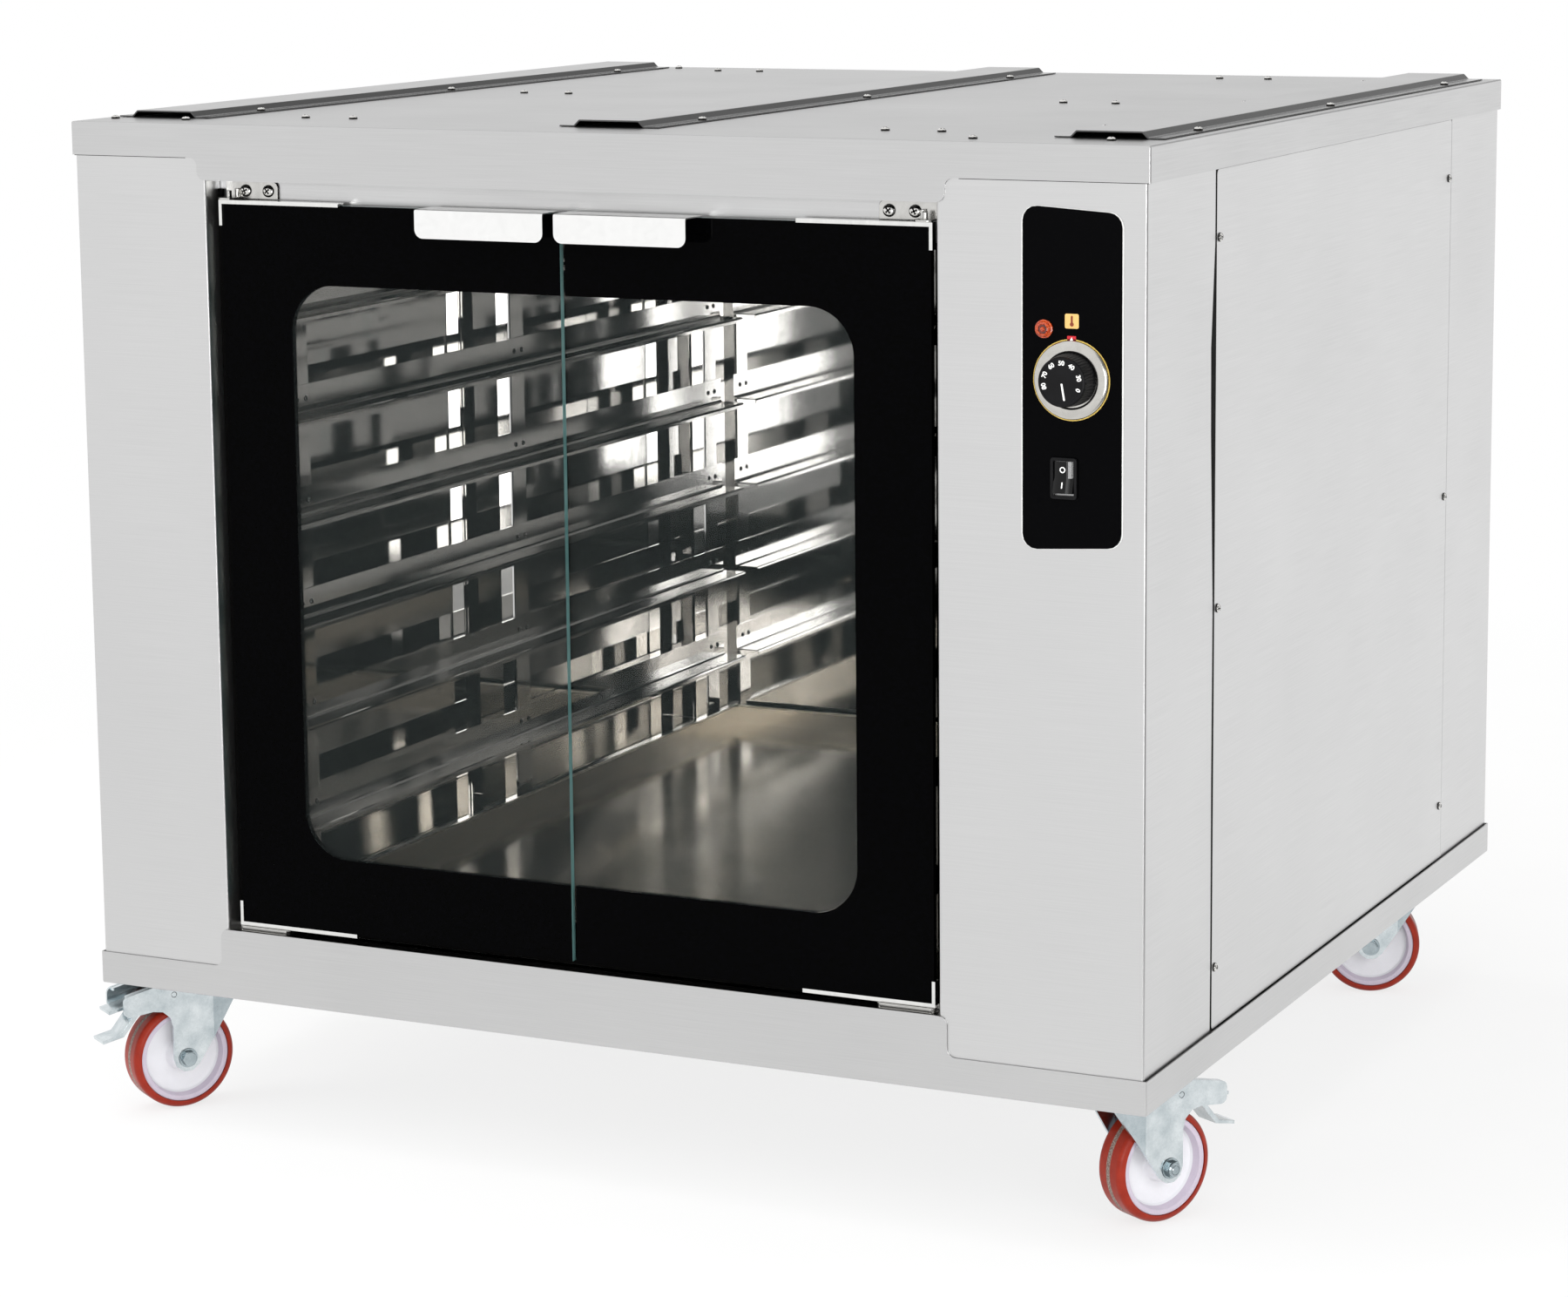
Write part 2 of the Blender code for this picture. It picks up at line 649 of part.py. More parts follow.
def build_chamber():
    """The liner's five sheets and the pan on its floor."""
    low = FLOOR_Z + FIT
    high = CEILING_Z - LAP
    back = CHAMBER_BACK - FIT
    left_face = CHAMBER_LEFT - SHEET
    right_face = CHAMBER_RIGHT + SHEET
    left = [(left_face, back), (left_face, JAMB_Y), (CHAMBER_LEFT + JAMB_WIDTH, JAMB_Y)]
    right = [(CHAMBER_RIGHT - JAMB_WIDTH, JAMB_Y), (right_face, JAMB_Y), (right_face, back)]
    add_part("chamber_left_wall", bent_sheet(left, "Z", low, high), "bright_steel")
    add_part("chamber_right_wall", bent_sheet(right, "Z", low, high), "bright_steel")
    rear_low = (left_face, CHAMBER_BACK, low)
    rear_high = (right_face, CHAMBER_BACK + SHEET, high)
    add_part("chamber_rear_wall", box(rear_low, rear_high), "bright_steel")

    head_low = OPENING_HIGH - HEAD_RAIL_DROP
    ceiling = [(CHAMBER_BACK + SHEET, CEILING_Z), (HEAD_Y, CEILING_Z), (HEAD_Y, head_low)]
    add_part("chamber_ceiling", bent_sheet(ceiling, "X", left_face, right_face), "bright_steel")

    lip = COLUMN_Y + LAP
    floor = [(CHAMBER_BACK + SHEET, FLOOR_Z), (HEAD_Y, FLOOR_Z), (HEAD_Y, SILL_Z), (lip, SILL_Z)]
    chamber_floor = add_part("chamber_floor", bent_sheet(floor, "X", left_face, right_face), "bright_steel")
    for outside, inside in ((left_face - FOLD, OPENING_LEFT + FIT), (OPENING_RIGHT - FIT, right_face + FOLD)):
        notch_low = (outside, lip - FOLD, SILL_Z - 2 * FOLD)
        notch_high = (inside, HEAD_Y - FIT, SILL_Z + FOLD)
        cut(chamber_floor, box(notch_low, notch_high))

    pan_low = (RACK_LEFT + PAN_SIDE_GAP, JAMB_Y + PAN_FRONT_GAP, low)
    pan_high = (RACK_RIGHT - PAN_SIDE_GAP, CHAMBER_BACK - PAN_REAR_GAP, low + PAN_RIM)
    add_part("water_pan", open_pan(pan_low, pan_high), "pan_steel")


def build_heater():
    """A sheathed rod bent into hairpins and held against the chamber floor's underside."""
    height = FLOOR_Z - LAP - HEATER_RADIUS
    ends = [CHAMBER_LEFT + HEATER_SIDE_GAP, CHAMBER_RIGHT - HEATER_SIDE_GAP]
    front = JAMB_Y + HEATER_END_GAP
    spacing = (CHAMBER_BACK - HEATER_END_GAP - front) / (HEATER_RUNS - 1)
    turns = []
    for run in range(HEATER_RUNS):
        turns += [(x, front + run * spacing) for x in ends]
        ends.reverse()
    line = rounded(turns, HEATER_BEND, closed=False, steps=3)
    curve = bpy.data.curves.new("heater", "CURVE")
    curve.dimensions = "3D"
    curve.bevel_depth = HEATER_RADIUS
    curve.bevel_resolution = 1
    curve.use_fill_caps = True
    spline = curve.splines.new("POLY")
    spline.points.add(len(line) - 1)
    for point, (x, y) in zip(spline.points, line):
        point.co = (x, y, height, 1.0)
    add_part("heater_element", mesh_of(curve), "sheathed_rod", smooth=50.0)


def build_rack(name, web_x, inward):
    """Three channel uprights carrying the ledge runners; inward is the way the ledges point."""
    front = JAMB_Y + UPRIGHT_FRONT_GAP
    rear = CHAMBER_BACK - UPRIGHT_REAR_GAP
    half = UPRIGHT_WIDTH / 2
    back = web_x - inward * UPRIGHT_DEPTH
    rack = None
    for y in (front, (front + rear) / 2 + UPRIGHT_MIDDLE_SHIFT, rear):
        channel = [(back, y - half), (web_x, y - half), (web_x, y + half), (back, y + half)]
        mesh = bent_sheet(channel[::inward], "Z", FLOOR_Z + FIT, CEILING_Z - LAP)
        rack = join(rack, mesh) if rack else add_part(name, mesh, "bright_steel")
    face = web_x + inward * (SHEET - RUNNER_WELD)
    edge = face + inward * RUNNER_LEDGE
    for level in range(RUNNER_LEVELS):
        ledge = FLOOR_Z + RUNNER_LOWEST + level * RUNNER_PITCH
        section = [(edge, ledge - RUNNER_LIP), (edge, ledge), (face, ledge), (face, ledge + RUNNER_WEB)]
        start = JAMB_Y + RUNNER_FRONT_GAP
        join(rack, bent_sheet(section[::inward], "Y", start, CHAMBER_BACK - RUNNER_REAR_GAP))


def build_rails():
    """Hat-section rails on the top cover."""
    left = RAIL_LEFT_INSET - BODY_WIDTH / 2
    right = BODY_WIDTH / 2 - RAIL_RIGHT_INSET
    middle = (left + right) / 2 + RAIL_MIDDLE_SHIFT
    crown = RAIL_CROWN / 2
    shoulder = crown + RAIL_RISE
    toe = shoulder + RAIL_FLANGE
    low = TOP_Z + FIT + SHEET
    high = low + RAIL_RISE
    for name, x in (("left", left), ("middle", middle), ("right", right)):
        section = [(x + toe, low), (x + shoulder, low), (x + crown, high),
                   (x - crown, high), (x - shoulder, low), (x - toe, low)]
        mesh = bent_sheet(section, "Y", FRONT_Y + RAIL_FRONT_GAP, REAR_Y - RAIL_REAR_GAP)
        add_part(f"oven_rail_{name}", mesh, "bright_steel")


def build_fascia():
    """The black control fascia, a little shorter at its right edge."""
    bottom = FASCIA_TOP - FASCIA_LENGTH
    corners = [(FASCIA_LEFT, bottom), (FASCIA_RIGHT, bottom + FASCIA_TAPER),
               (FASCIA_RIGHT, FASCIA_TOP - FASCIA_TAPER), (FASCIA_LEFT, FASCIA_TOP)]
    middle = FASCIA_Y - FASCIA_THICKNESS / 2
    outlines = [rounded(corners, FASCIA_CORNER)] + control_holes()
    add_part("control_fascia", plate(outlines, FASCIA_THICKNESS, FRONT, (0, middle, 0)), "black_gloss")


def facing_out(place):
    """A frame on the fascia whose Z axis points out of it."""
    return Matrix.Translation((place[0], CONTROL_Y, place[1])) @ Matrix.Rotation(pi / 2, 4, "X")


def build_thermostat():
    """The chrome bezel, the body behind the column with its shaft, and the ribbed knob."""
    x, z = on_fascia(KNOB_PLACE)
    step = BEZEL_RADIUS - BEZEL_RIM
    hole = SHAFT_RADIUS + FIT
    profile = [(hole, BEZEL_FLOOR), (step, BEZEL_FLOOR), (step + BEZEL_BEVEL, BEZEL_HEIGHT),
               (BEZEL_RADIUS - BEZEL_BEVEL, BEZEL_HEIGHT), (BEZEL_RADIUS, BEZEL_HEIGHT - BEZEL_BEVEL),
               (BEZEL_RADIUS, 0.0), (hole, 0.0)]
    turned("thermostat_bezel", profile, "chrome", ROOT, facing_out((x, z)), steps=WHEEL_STEPS)

    seat = CONTROL_Y - BEZEL_FLOOR - FIT
    back = COLUMN_Y + LAP
    half = THERMOSTAT_WIDTH / 2
    mesh = box((x - half, back, z - half), (x + half, back + THERMOSTAT_DEPTH, z + half))
    body = add_part("thermostat_body", mesh, "black_plastic")
    shaft = ((x, back + THERMOSTAT_DEPTH / 2, z), (x, seat - SHAFT_GRIP, z))
    join(body, rod(SHAFT_RADIUS, *shaft, PIN_STEPS))

    centre = pivot("knob_axis", (x, seat, z))
    grip = []
    for index in range(2 * KNOB_RIBS):
        turn = pi * index / KNOB_RIBS
        radius = KNOB_RADIUS - KNOB_RIB * (index % 2)
        grip.append((radius * cos(turn), radius * sin(turn)))
    grip_height = KNOB_HEIGHT - KNOB_FACE
    mesh = plate([grip], grip_height, FRONT, (0, -grip_height / 2, 0))
    knob = add_part("thermostat_knob", mesh, "black_plastic", centre)
    join(knob, rod(KNOB_RADIUS - 2 * KNOB_RIB, (0, -grip_height / 2, 0), (0, -KNOB_HEIGHT, 0), WHEEL_STEPS))
    cut(knob, rod(bore(SHAFT_RADIUS), (0, FIT, 0), (0, -SHAFT_GRIP - FIT, 0), PIN_STEPS))


def build_lamp():
    """The pilot lamp: a domed lens on a collar, with its barrel through the column."""
    dome = [(LAMP_LENS * u, LAMP_COLLAR + LAMP_DOME * v) for u, v in arc((0, 0), 1.0, 90.0, 0.0, steps=3)]
    dome[0] = (0.0, LAMP_COLLAR + LAMP_DOME)
    profile = dome + [(LAMP_RADIUS, LAMP_COLLAR), (LAMP_RADIUS, 0.0), (LAMP_BARREL, 0.0),
                      (LAMP_BARREL, -LAMP_DEPTH), (0.0, -LAMP_DEPTH)]
    turned("pilot_lamp", profile, "amber", ROOT, facing_out(on_fascia(LAMP_PLACE)))


def build_switch():
    """The switch housing with a pocket, and the rocker that tilts in it."""
    x, z = on_fascia(SWITCH_PLACE)
    half_x, half_z = SWITCH_WIDTH / 2, SWITCH_HEIGHT / 2
    body_x, body_z = half_x - SWITCH_FRAME / 2, half_z - SWITCH_FRAME / 2
    pocket_x, pocket_z = half_x - SWITCH_FRAME, half_z - SWITCH_FRAME
    front = CONTROL_Y - SWITCH_LIP
    middle = CONTROL_Y - SWITCH_LIP / 2
    frame = rounded(rectangle((x - half_x, z - half_z), (x + half_x, z + half_z)), SWITCH_FRAME)
    mesh = plate([frame], SWITCH_LIP, FRONT, (0, middle, 0))
    housing = add_part("switch_housing", mesh, "black_plastic")
    join(housing, box((x - body_x, middle, z - body_z), (x + body_x, CONTROL_Y + SWITCH_DEPTH, z + body_z)))
    pocket_low = (x - pocket_x, front - SHEET, z - pocket_z)
    cut(housing, box(pocket_low, (x + pocket_x, front + ROCKER_POCKET, z + pocket_z)))

    depth = ROCKER_POCKET / 2
    centre = pivot("rocker_axis", (x, front + depth, z))
    lift = depth + ROCKER_PROUD
    swing = (pocket_z - 2 * FIT) * cos(radians(2 * ROCKER_TILT)) - FIT
    dip = swing * tan(radians(ROCKER_TILT))
    belly = arc((0.0, 0.0), depth - 2 * FIT, -60.0, 60.0)
    face = [(-lift, swing), (dip - lift, 0.0), (-lift, -swing)]
    outline = belly + [(-depth / 2, swing)] + face + [(-depth / 2, -swing)]
    mesh = plate([outline], 2 * (pocket_x - FIT), SIDE)
    mesh.transform(Matrix.Rotation(radians(-ROCKER_TILT), 4, "X"))
    add_part("rocker", mesh, "black_gloss", centre)


def build_door(name, hinge_edge, side):
    """One glass door with its shoes; side is the way from the hinge edge to the meeting edge."""
    outer = hinge_edge + side * GLASS_SIDE_GAP
    axis_x = outer + side * PIVOT_INSET
    axis = pivot(f"{name}_door_axis", (axis_x, PIVOT_Y, GLASS_BOTTOM))

    def across(distance):
        """Distance from the glass's hinge edge, as a place along the door."""
        return side * (distance - PIVOT_INSET)

    def block(start, end, half_y, z_range):
        """A block on the door, from one distance across it to another."""
        ends = sorted((across(start), across(end)))
        return box((ends[0], -half_y, z_range[0]), (ends[1], half_y, z_range[1]))

    half = GLASS_THICKNESS / 2
    mesh = block(0.0, GLASS_WIDTH, half, (0.0, GLASS_HEIGHT))
    soften(add_part(f"{name}_door_glass", mesh, "dark_glass", axis), GLASS_ARRIS)

    cheek = half + FIT + SHOE_CHEEK
    wall = -FIT - SHOE_CHEEK
    for end, edge, way in (("top", GLASS_HEIGHT, 1), ("bottom", 0.0, -1)):
        tip = edge + way * FIT
        crown = tip + way * SHOE_CROWN
        lap = edge - way * SHOE_LAP
        drop = edge - way * SHOE_DROP
        mesh = block(wall, SHOE_LENGTH, cheek, sorted((lap, crown)))
        shoe = add_part(f"{name}_door_{end}_shoe", mesh, "chrome", axis)
        join(shoe, block(wall, SHOE_LAP, cheek, sorted((drop, crown - way * SHOE_CROWN / 2))))
        cut(shoe, block(-FIT, GLASS_WIDTH, half + FIT, (-FIT, GLASS_HEIGHT + FIT)))
        hole = ((0, 0, tip - way * SHOE_CROWN), (0, 0, crown + way * SHOE_CROWN))
        cut(shoe, rod(bore(PIN_RADIUS), *hole, PIN_STEPS))
    ends = sorted((across(GLASS_WIDTH - HANDLE_INSET), across(GLASS_WIDTH - HANDLE_INSET - HANDLE_LENGTH)))
    build_handle(name, axis, ends)
    build_hinges(name, side, axis_x)


def build_handle(name, axis, ends):
    """A folded sheet hooked over the glass's top edge, with a rounded finger lip in front."""
    top = GLASS_HEIGHT + LAP
    foot = top - HANDLE_DROP
    lip_y = -GLASS_THICKNESS / 2 - HANDLE_REACH
    clip_y = GLASS_THICKNESS / 2 + LAP
    section = [(clip_y, top - HANDLE_CLIP), (clip_y, top), (lip_y, top), (lip_y, foot)]
    editing = bmesh.new()
    editing.from_mesh(bent_sheet(section, "X", *ends))
    corners = [edge for edge in editing.edges
               if all(abs(vertex.co.z - foot) < WELD for vertex in edge.verts)
               and abs(edge.verts[0].co.x - edge.verts[1].co.x) < WELD]
    bmesh.ops.bevel(editing, geom=corners, offset=HANDLE_CORNER, offset_type="OFFSET", segments=CORNER_STEPS,
                    profile=0.5, affect="EDGES")
    add_part(f"{name}_door_handle", finish_mesh(editing, "handle"), "chrome", axis)


def build_hinges(name, side, axis_x):
    """The brackets over and under a door, each with the pin that the shoe turns on."""
    ear = PIN_RADIUS + HINGE_EAR
    ends = sorted((axis_x - side * ear, axis_x + side * (HINGE_LENGTH - ear)))
    tab_low = GLASS_TOP + SHOE_CROWN + 2 * FIT
    back = HEAD_Y - FIT
    middle = back - HINGE_PLATE / 2
    corners = rectangle((ends[0], tab_low), (ends[1], tab_low + HINGE_HEIGHT))
    free_end = [0, 0, HINGE_CORNER, 0] if side > 0 else [0, 0, 0, HINGE_CORNER]
    mesh = plate([rounded(corners, free_end)], HINGE_PLATE, FRONT, (0, middle, 0))
    bracket = add_part(f"hinge_bracket_top_{name}", mesh, "chrome")
    tab = rectangle((axis_x - ear, PIVOT_Y - ear), (axis_x + ear, middle))
    tab = rounded(tab, [HINGE_CORNER] * 2 + [0, 0])
    join(bracket, plate([tab], HINGE_PLATE, PLAN, (0, 0, tab_low + HINGE_PLATE / 2)))
    pin_low = GLASS_TOP + 2 * FIT
    pin = ((axis_x, PIVOT_Y, pin_low), (axis_x, PIVOT_Y, tab_low + PIN_HEAD))
    join(bracket, rod(PIN_RADIUS, *pin, PIN_STEPS))

    seat = SILL_Z + FIT
    foot_top = GLASS_BOTTOM - SHOE_CROWN - 2 * FIT
    foot = rounded(rectangle((ends[0], PIVOT_Y - ear), (ends[1], HEAD_Y - FOLD - FIT)), HINGE_CORNER)
    mesh = plate([foot], foot_top - seat, PLAN, (0, 0, (foot_top + seat) / 2))
    lower = add_part(f"hinge_bracket_bottom_{name}", mesh, "chrome")
    pin_high = GLASS_BOTTOM - 2 * FIT
    pin = ((axis_x, PIVOT_Y, (foot_top + seat) / 2), (axis_x, PIVOT_Y, pin_high))
    join(lower, rod(PIN_RADIUS, *pin, PIN_STEPS))


def fork_outline(braked):
    """One leg of a caster's fork, seen from the side with the wheel trailing to the right."""
    eye = (CASTER_TRAIL, AXLE_Z)
    waist = CASTER_TRAIL + FORK_EYE
    nose = (-FORK_NOSE, CROWN_LOW)
    lower = arc(eye, FORK_EYE, touch_angle(nose, eye, FORK_EYE), 0.0)
    tail = [(waist, CROWN_TOP)]
    tail_radii = [0]
    if braked:
        arm_low = CROWN_TOP - ARM_DIP - ARM_DEPTH
        end_low = arm_low - (ARM_REACH - waist) * tan(radians(ARM_SLOPE))
        end_high = end_low + ARM_DEPTH
        tail = [(waist, arm_low), (ARM_REACH, end_low), (ARM_REACH, end_high), (waist, CROWN_TOP)]
        tail_radii = [ARM_FILLET, FORK_FILLET, FORK_FILLET, FORK_FILLET]
    head = [(-FORK_NOSE, CROWN_TOP), nose]
    radii = [0] * len(lower) + tail_radii + [0, FORK_FILLET]
    return rounded(lower + tail + head, radii, steps=3)


def build_caster(corner, way_x, way_y, trail_angle, braked):
    """One caster: the fixed plate, and the swivelling fork with its axle, wheel and brake pedal."""
    x = way_x * (BODY_WIDTH / 2 - CASTER_INSET_X)
    y = way_y * (BODY_DEPTH / 2 - CASTER_INSET_Y)
    half_x, half_y = PLATE_LENGTH / 2, PLATE_WIDTH / 2
    outline = rounded(rectangle((x - half_x, y - half_y), (x + half_x, y + half_y)), PLATE_CORNER, steps=2)
    middle = PLATE_LOW + PLATE_THICKNESS / 2
    blank = plate([outline], PLATE_THICKNESS, PLAN, (0, 0, middle))
    fixed = add_part(f"caster_plate_{corner}", blank, "zinc")
    join(fixed, rod(RACE_RADIUS, (x, y, middle), (x, y, PLATE_LOW - RACE_HEIGHT)))

    swivel = pivot(f"swivel_axis_{corner}", (x, y, 0.0), radians(trail_angle))
    build_fork(corner, swivel, braked)
    build_wheel(corner, pivot(f"axle_axis_{corner}", (CASTER_TRAIL, 0.0, AXLE_Z), parent=swivel))
    if braked:
        build_pedal(corner, swivel)


def build_fork(corner, swivel, braked):
    """The crown with a leg on each side of the wheel, and the axle bolt with its nut."""
    leg_y = (FORK_GAP + FORK_SHEET) / 2
    crown = [circle((0, 0), CROWN_RADIUS), circle((0, 0), bore(RACE_RADIUS, ROUND_STEPS))]
    middle = (0, 0, CROWN_TOP - CROWN_HEIGHT / 2)
    fork = add_part(f"caster_fork_{corner}", plate(crown, CROWN_HEIGHT, PLAN, middle), "zinc", swivel)
    for way in (-1, 1):
        join(fork, plate([fork_outline(braked)], FORK_SHEET, FRONT, (0, way * leg_y, 0)))
    beyond = 2 * FORK_OUTSIDE
    ends = [(CASTER_TRAIL, side, AXLE_Z) for side in (-beyond, beyond)]
    cut(fork, rod(bore(AXLE_RADIUS), *ends, PIN_STEPS))
    if braked:
        x, z = PEDAL_PIN_REACH, CROWN_TOP - PEDAL_PIN_DIP
        cut(fork, rod(bore(PEDAL_PIN), (x, -beyond, z), (x, beyond, z), PIN_STEPS))

    face = FORK_OUTSIDE + FIT
    reach = face + BOLT_HEAD
    shank = ((CASTER_TRAIL, -reach - BOLT_END, AXLE_Z), (CASTER_TRAIL, reach, AXLE_Z))
    bolt = add_part(f"caster_axle_{corner}", rod(AXLE_RADIUS, *shank, PIN_STEPS), "zinc", swivel)
    for way in (-1, 1):
        ends = [(CASTER_TRAIL, way * y, AXLE_Z) for y in (face, reach)]
        join(bolt, rod(BOLT_ACROSS, *ends, steps=6))


def build_wheel(corner, axle):
    """The nylon core with its dished web, and the tyre moulded round it."""
    upright = Matrix.Rotation(pi / 2, 4, "Y") @ Matrix.Rotation(pi / 2, 4, "X")
    half = TYRE_WIDTH / 2
    seat = WHEEL_RADIUS - TYRE_THICKNESS
    rim_half = half - RIM_INSET
    hub_half = FORK_GAP / 2 - FIT
    web_half = WEB_THICKNESS / 2
    inner = seat - FIT - RIM_THICKNESS
    outer = [(AXLE_RADIUS + FIT, hub_half), (HUB_RADIUS, hub_half), (HUB_RADIUS + RIM_INSET, web_half),
             (inner - WEB_DISH, web_half), (inner, rim_half), (seat - FIT, rim_half)]
    profile = outer + [(radius, -height) for radius, height in reversed(outer)]
    turned(f"wheel_core_{corner}", profile, "nylon", axle, upright, steps=WHEEL_STEPS)

    edge = [(seat, half)] + arc((WHEEL_RADIUS - TYRE_EDGE, half - TYRE_EDGE), TYRE_EDGE, 75.0, 0.0, steps=2)
    tread = edge + [(radius, -height) for radius, height in reversed(edge)]
    turned(f"tyre_{corner}", tread, "red_tyre", axle, upright, steps=WHEEL_STEPS)


def build_pedal(corner, swivel):
    """The brake pedal: a windowed tread and a foot tab on one sloping lever, pinned in the fork's arms."""
    place = (PEDAL_PIN_REACH, 0.0, CROWN_TOP - PEDAL_PIN_DIP)
    centre = pivot(f"pedal_axis_{corner}", place, parent=swivel)
    half = PEDAL_SHEET / 2
    rib = -half - PEDAL_RIB
    sole = -PEDAL_DROP - PEDAL_SHEET
    outline = [(-PEDAL_ROOT, half), (-PEDAL_ROOT, rib), (PEDAL_KNEE - PEDAL_SHEET, rib),
               (PEDAL_HEEL - PEDAL_SHEET, sole), (PEDAL_TOE, sole), (PEDAL_TOE, -PEDAL_DROP),
               (PEDAL_HEEL, -PEDAL_DROP), (PEDAL_KNEE + PEDAL_SHEET, -half), (PEDAL_TREAD, -half),
               (PEDAL_TREAD, half)]
    pedal = add_part(f"brake_pedal_{corner}", plate([outline], PEDAL_WIDTH, FRONT), "zinc", centre)
    join(pedal, rod(PEDAL_PIN, (0, -FORK_OUTSIDE, 0), (0, FORK_OUTSIDE, 0), PIN_STEPS))
    far = PEDAL_TREAD - PEDAL_WINDOW_EDGE
    window = PEDAL_WINDOW / 2
    cut(pedal, box((far - PEDAL_WINDOW, -window, -PEDAL_SHEET), (far, window, PEDAL_SHEET)))
    pedal.data.transform(Matrix.Rotation(radians(PEDAL_SLOPE), 4, "Y"))


def stand_on_floor():
    """Move the whole so that its origin is on the floor under the middle of it."""
    bpy.context.view_layer.update()
    graph = bpy.context.evaluated_depsgraph_get()
    corners = []
    for part in PARTS.objects:
        if part.type == "MESH":
            ready = part.evaluated_get(graph)
            corners += [ready.matrix_world @ Vector(corner) for corner in ready.bound_box]
    low = [min(corner[axis] for corner in corners) for axis in range(3)]
    high = [max(corner[axis] for corner in corners) for axis in range(3)]
    ROOT.location = (-(low[0] + high[0]) / 2, -(low[1] + high[1]) / 2, -low[2])
    bpy.context.view_layer.update()


def main():
    """Build every part and stand the cabinet on the floor."""
    build_shell()
    build_chamber()
    build_heater()
    build_rack("left_tray_rack", RACK_LEFT, 1)
    build_rack("right_tray_rack", RACK_RIGHT, -1)
    build_rails()
    build_fascia()
    build_thermostat()
    build_lamp()
    build_switch()
    build_door("left", OPENING_LEFT, 1)
    build_door("right", OPENING_RIGHT, -1)
    for corner, layout in CASTERS.items():
        build_caster(corner, *layout)
    stand_on_floor()


main()
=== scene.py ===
"""Looks of the proofing cabinet: finishes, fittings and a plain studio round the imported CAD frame.

Units are metres in the CAD's own frame: +Z is up and the doors face -Y.
"""

import json
import logging
from dataclasses import dataclass
from enum import Enum
from math import atan2, cos, pi, radians, sin, tan
from typing import Callable, Optional, Sequence, Union

import bmesh
import bpy
from mathutils import Matrix, Vector


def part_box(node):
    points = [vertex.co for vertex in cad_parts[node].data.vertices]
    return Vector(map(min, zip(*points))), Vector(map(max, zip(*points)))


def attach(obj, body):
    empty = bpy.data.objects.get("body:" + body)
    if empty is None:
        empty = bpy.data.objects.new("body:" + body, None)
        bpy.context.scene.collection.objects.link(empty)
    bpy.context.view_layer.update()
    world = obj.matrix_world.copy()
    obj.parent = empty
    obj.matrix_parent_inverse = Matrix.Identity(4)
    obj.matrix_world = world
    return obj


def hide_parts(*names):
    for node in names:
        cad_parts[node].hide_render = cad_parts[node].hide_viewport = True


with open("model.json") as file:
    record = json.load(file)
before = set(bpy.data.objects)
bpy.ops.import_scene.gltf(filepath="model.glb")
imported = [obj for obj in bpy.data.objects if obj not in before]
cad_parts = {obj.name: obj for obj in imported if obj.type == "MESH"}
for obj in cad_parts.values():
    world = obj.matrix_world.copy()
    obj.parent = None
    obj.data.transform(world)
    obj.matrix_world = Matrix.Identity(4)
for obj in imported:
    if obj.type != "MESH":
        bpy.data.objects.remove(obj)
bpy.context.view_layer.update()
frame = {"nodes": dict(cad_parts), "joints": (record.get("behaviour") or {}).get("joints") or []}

LOG = logging.getLogger("proofing_cabinet")
Tree = bpy.types.NodeTree
Node = bpy.types.Node
Socket = bpy.types.NodeSocket
Piece = bpy.types.Object
Face = bpy.types.MeshPolygon
Pair = tuple[float, float]
Triple = tuple[float, float, float]
Colour = tuple[float, float, float, float]
Ripple = Callable[[float, float, float], float]

MM = 0.001
# Points closer than this are one point, and faces that turn less than this are one flat face
WELD = 1e-5
FLAT_DEGREES = 0.5
# Edges that turn more than this many degrees are cut or folded square
SQUARE_DEGREES = 60.0
# How far a printed mark stands off what it lies on, and how thick its ink is
PROUD = 0.00004
INK = 0.0001
# A screw head's rings from its middle out: shares of its radius and height, and the cross's depth
SCREW_RINGS: tuple[Triple, ...] = ((0.0, 1.0, 0.55), (0.22, 0.99, 0.55), (0.52, 0.93, 0.12),
                                   (0.78, 0.74, 0.0), (0.95, 0.46, 0.0), (1.0, 0.0, 0.0))
# Most values of a noise pattern lie between these
PATTERN_LOW, PATTERN_HIGH = 0.3, 0.7
# How many finer layers a noise pattern has, from a smooth one to a gritty one
SMOOTH, EVEN, ROUGH, FINE, GRITTY = 1.0, 2.0, 3.0, 4.0, 5.0
# A Mix node's sockets: the share of its second input, its two numbers, two colours and mixed colour
SHARE, NUMBER_A, NUMBER_B, COLOUR_A, COLOUR_B, MIXED_COLOUR = 0, 2, 3, 6, 7, 2
WHITE: Colour = (1.0, 1.0, 1.0, 1.0)
# In mirrors the room's dark side comes up between these cosines of the angle to its middle
DARK_RANGE: Pair = (0.62, 0.8)
DARK_DEPTH = 0.75

# How a flat outline's (u, v) and its height stand in the body:
# seen from the front, from the right, and from above
FRONT = Matrix(((1, 0, 0, 0), (0, 0, -1, 0), (0, 1, 0, 0), (0, 0, 0, 1)))
SIDE = Matrix(((0, 0, 1, 0), (1, 0, 0, 0), (0, 1, 0, 0), (0, 0, 0, 1)))
PLAN = Matrix.Identity(4)


def linear(code: str) -> Colour:
    """Turn an sRGB hex colour to linear values.

    Args:
        code: Six hex digits after a hash sign.

    Returns:
        Red, green, blue and an alpha of one.
    """
    parts = [int(code[start:start + 2], 16) / 255 for start in (1, 3, 5)]
    bent = [part / 12.92 if part <= 0.04045 else ((part + 0.055) / 1.055) ** 2.4 for part in parts]
    return (bent[0], bent[1], bent[2], 1.0)


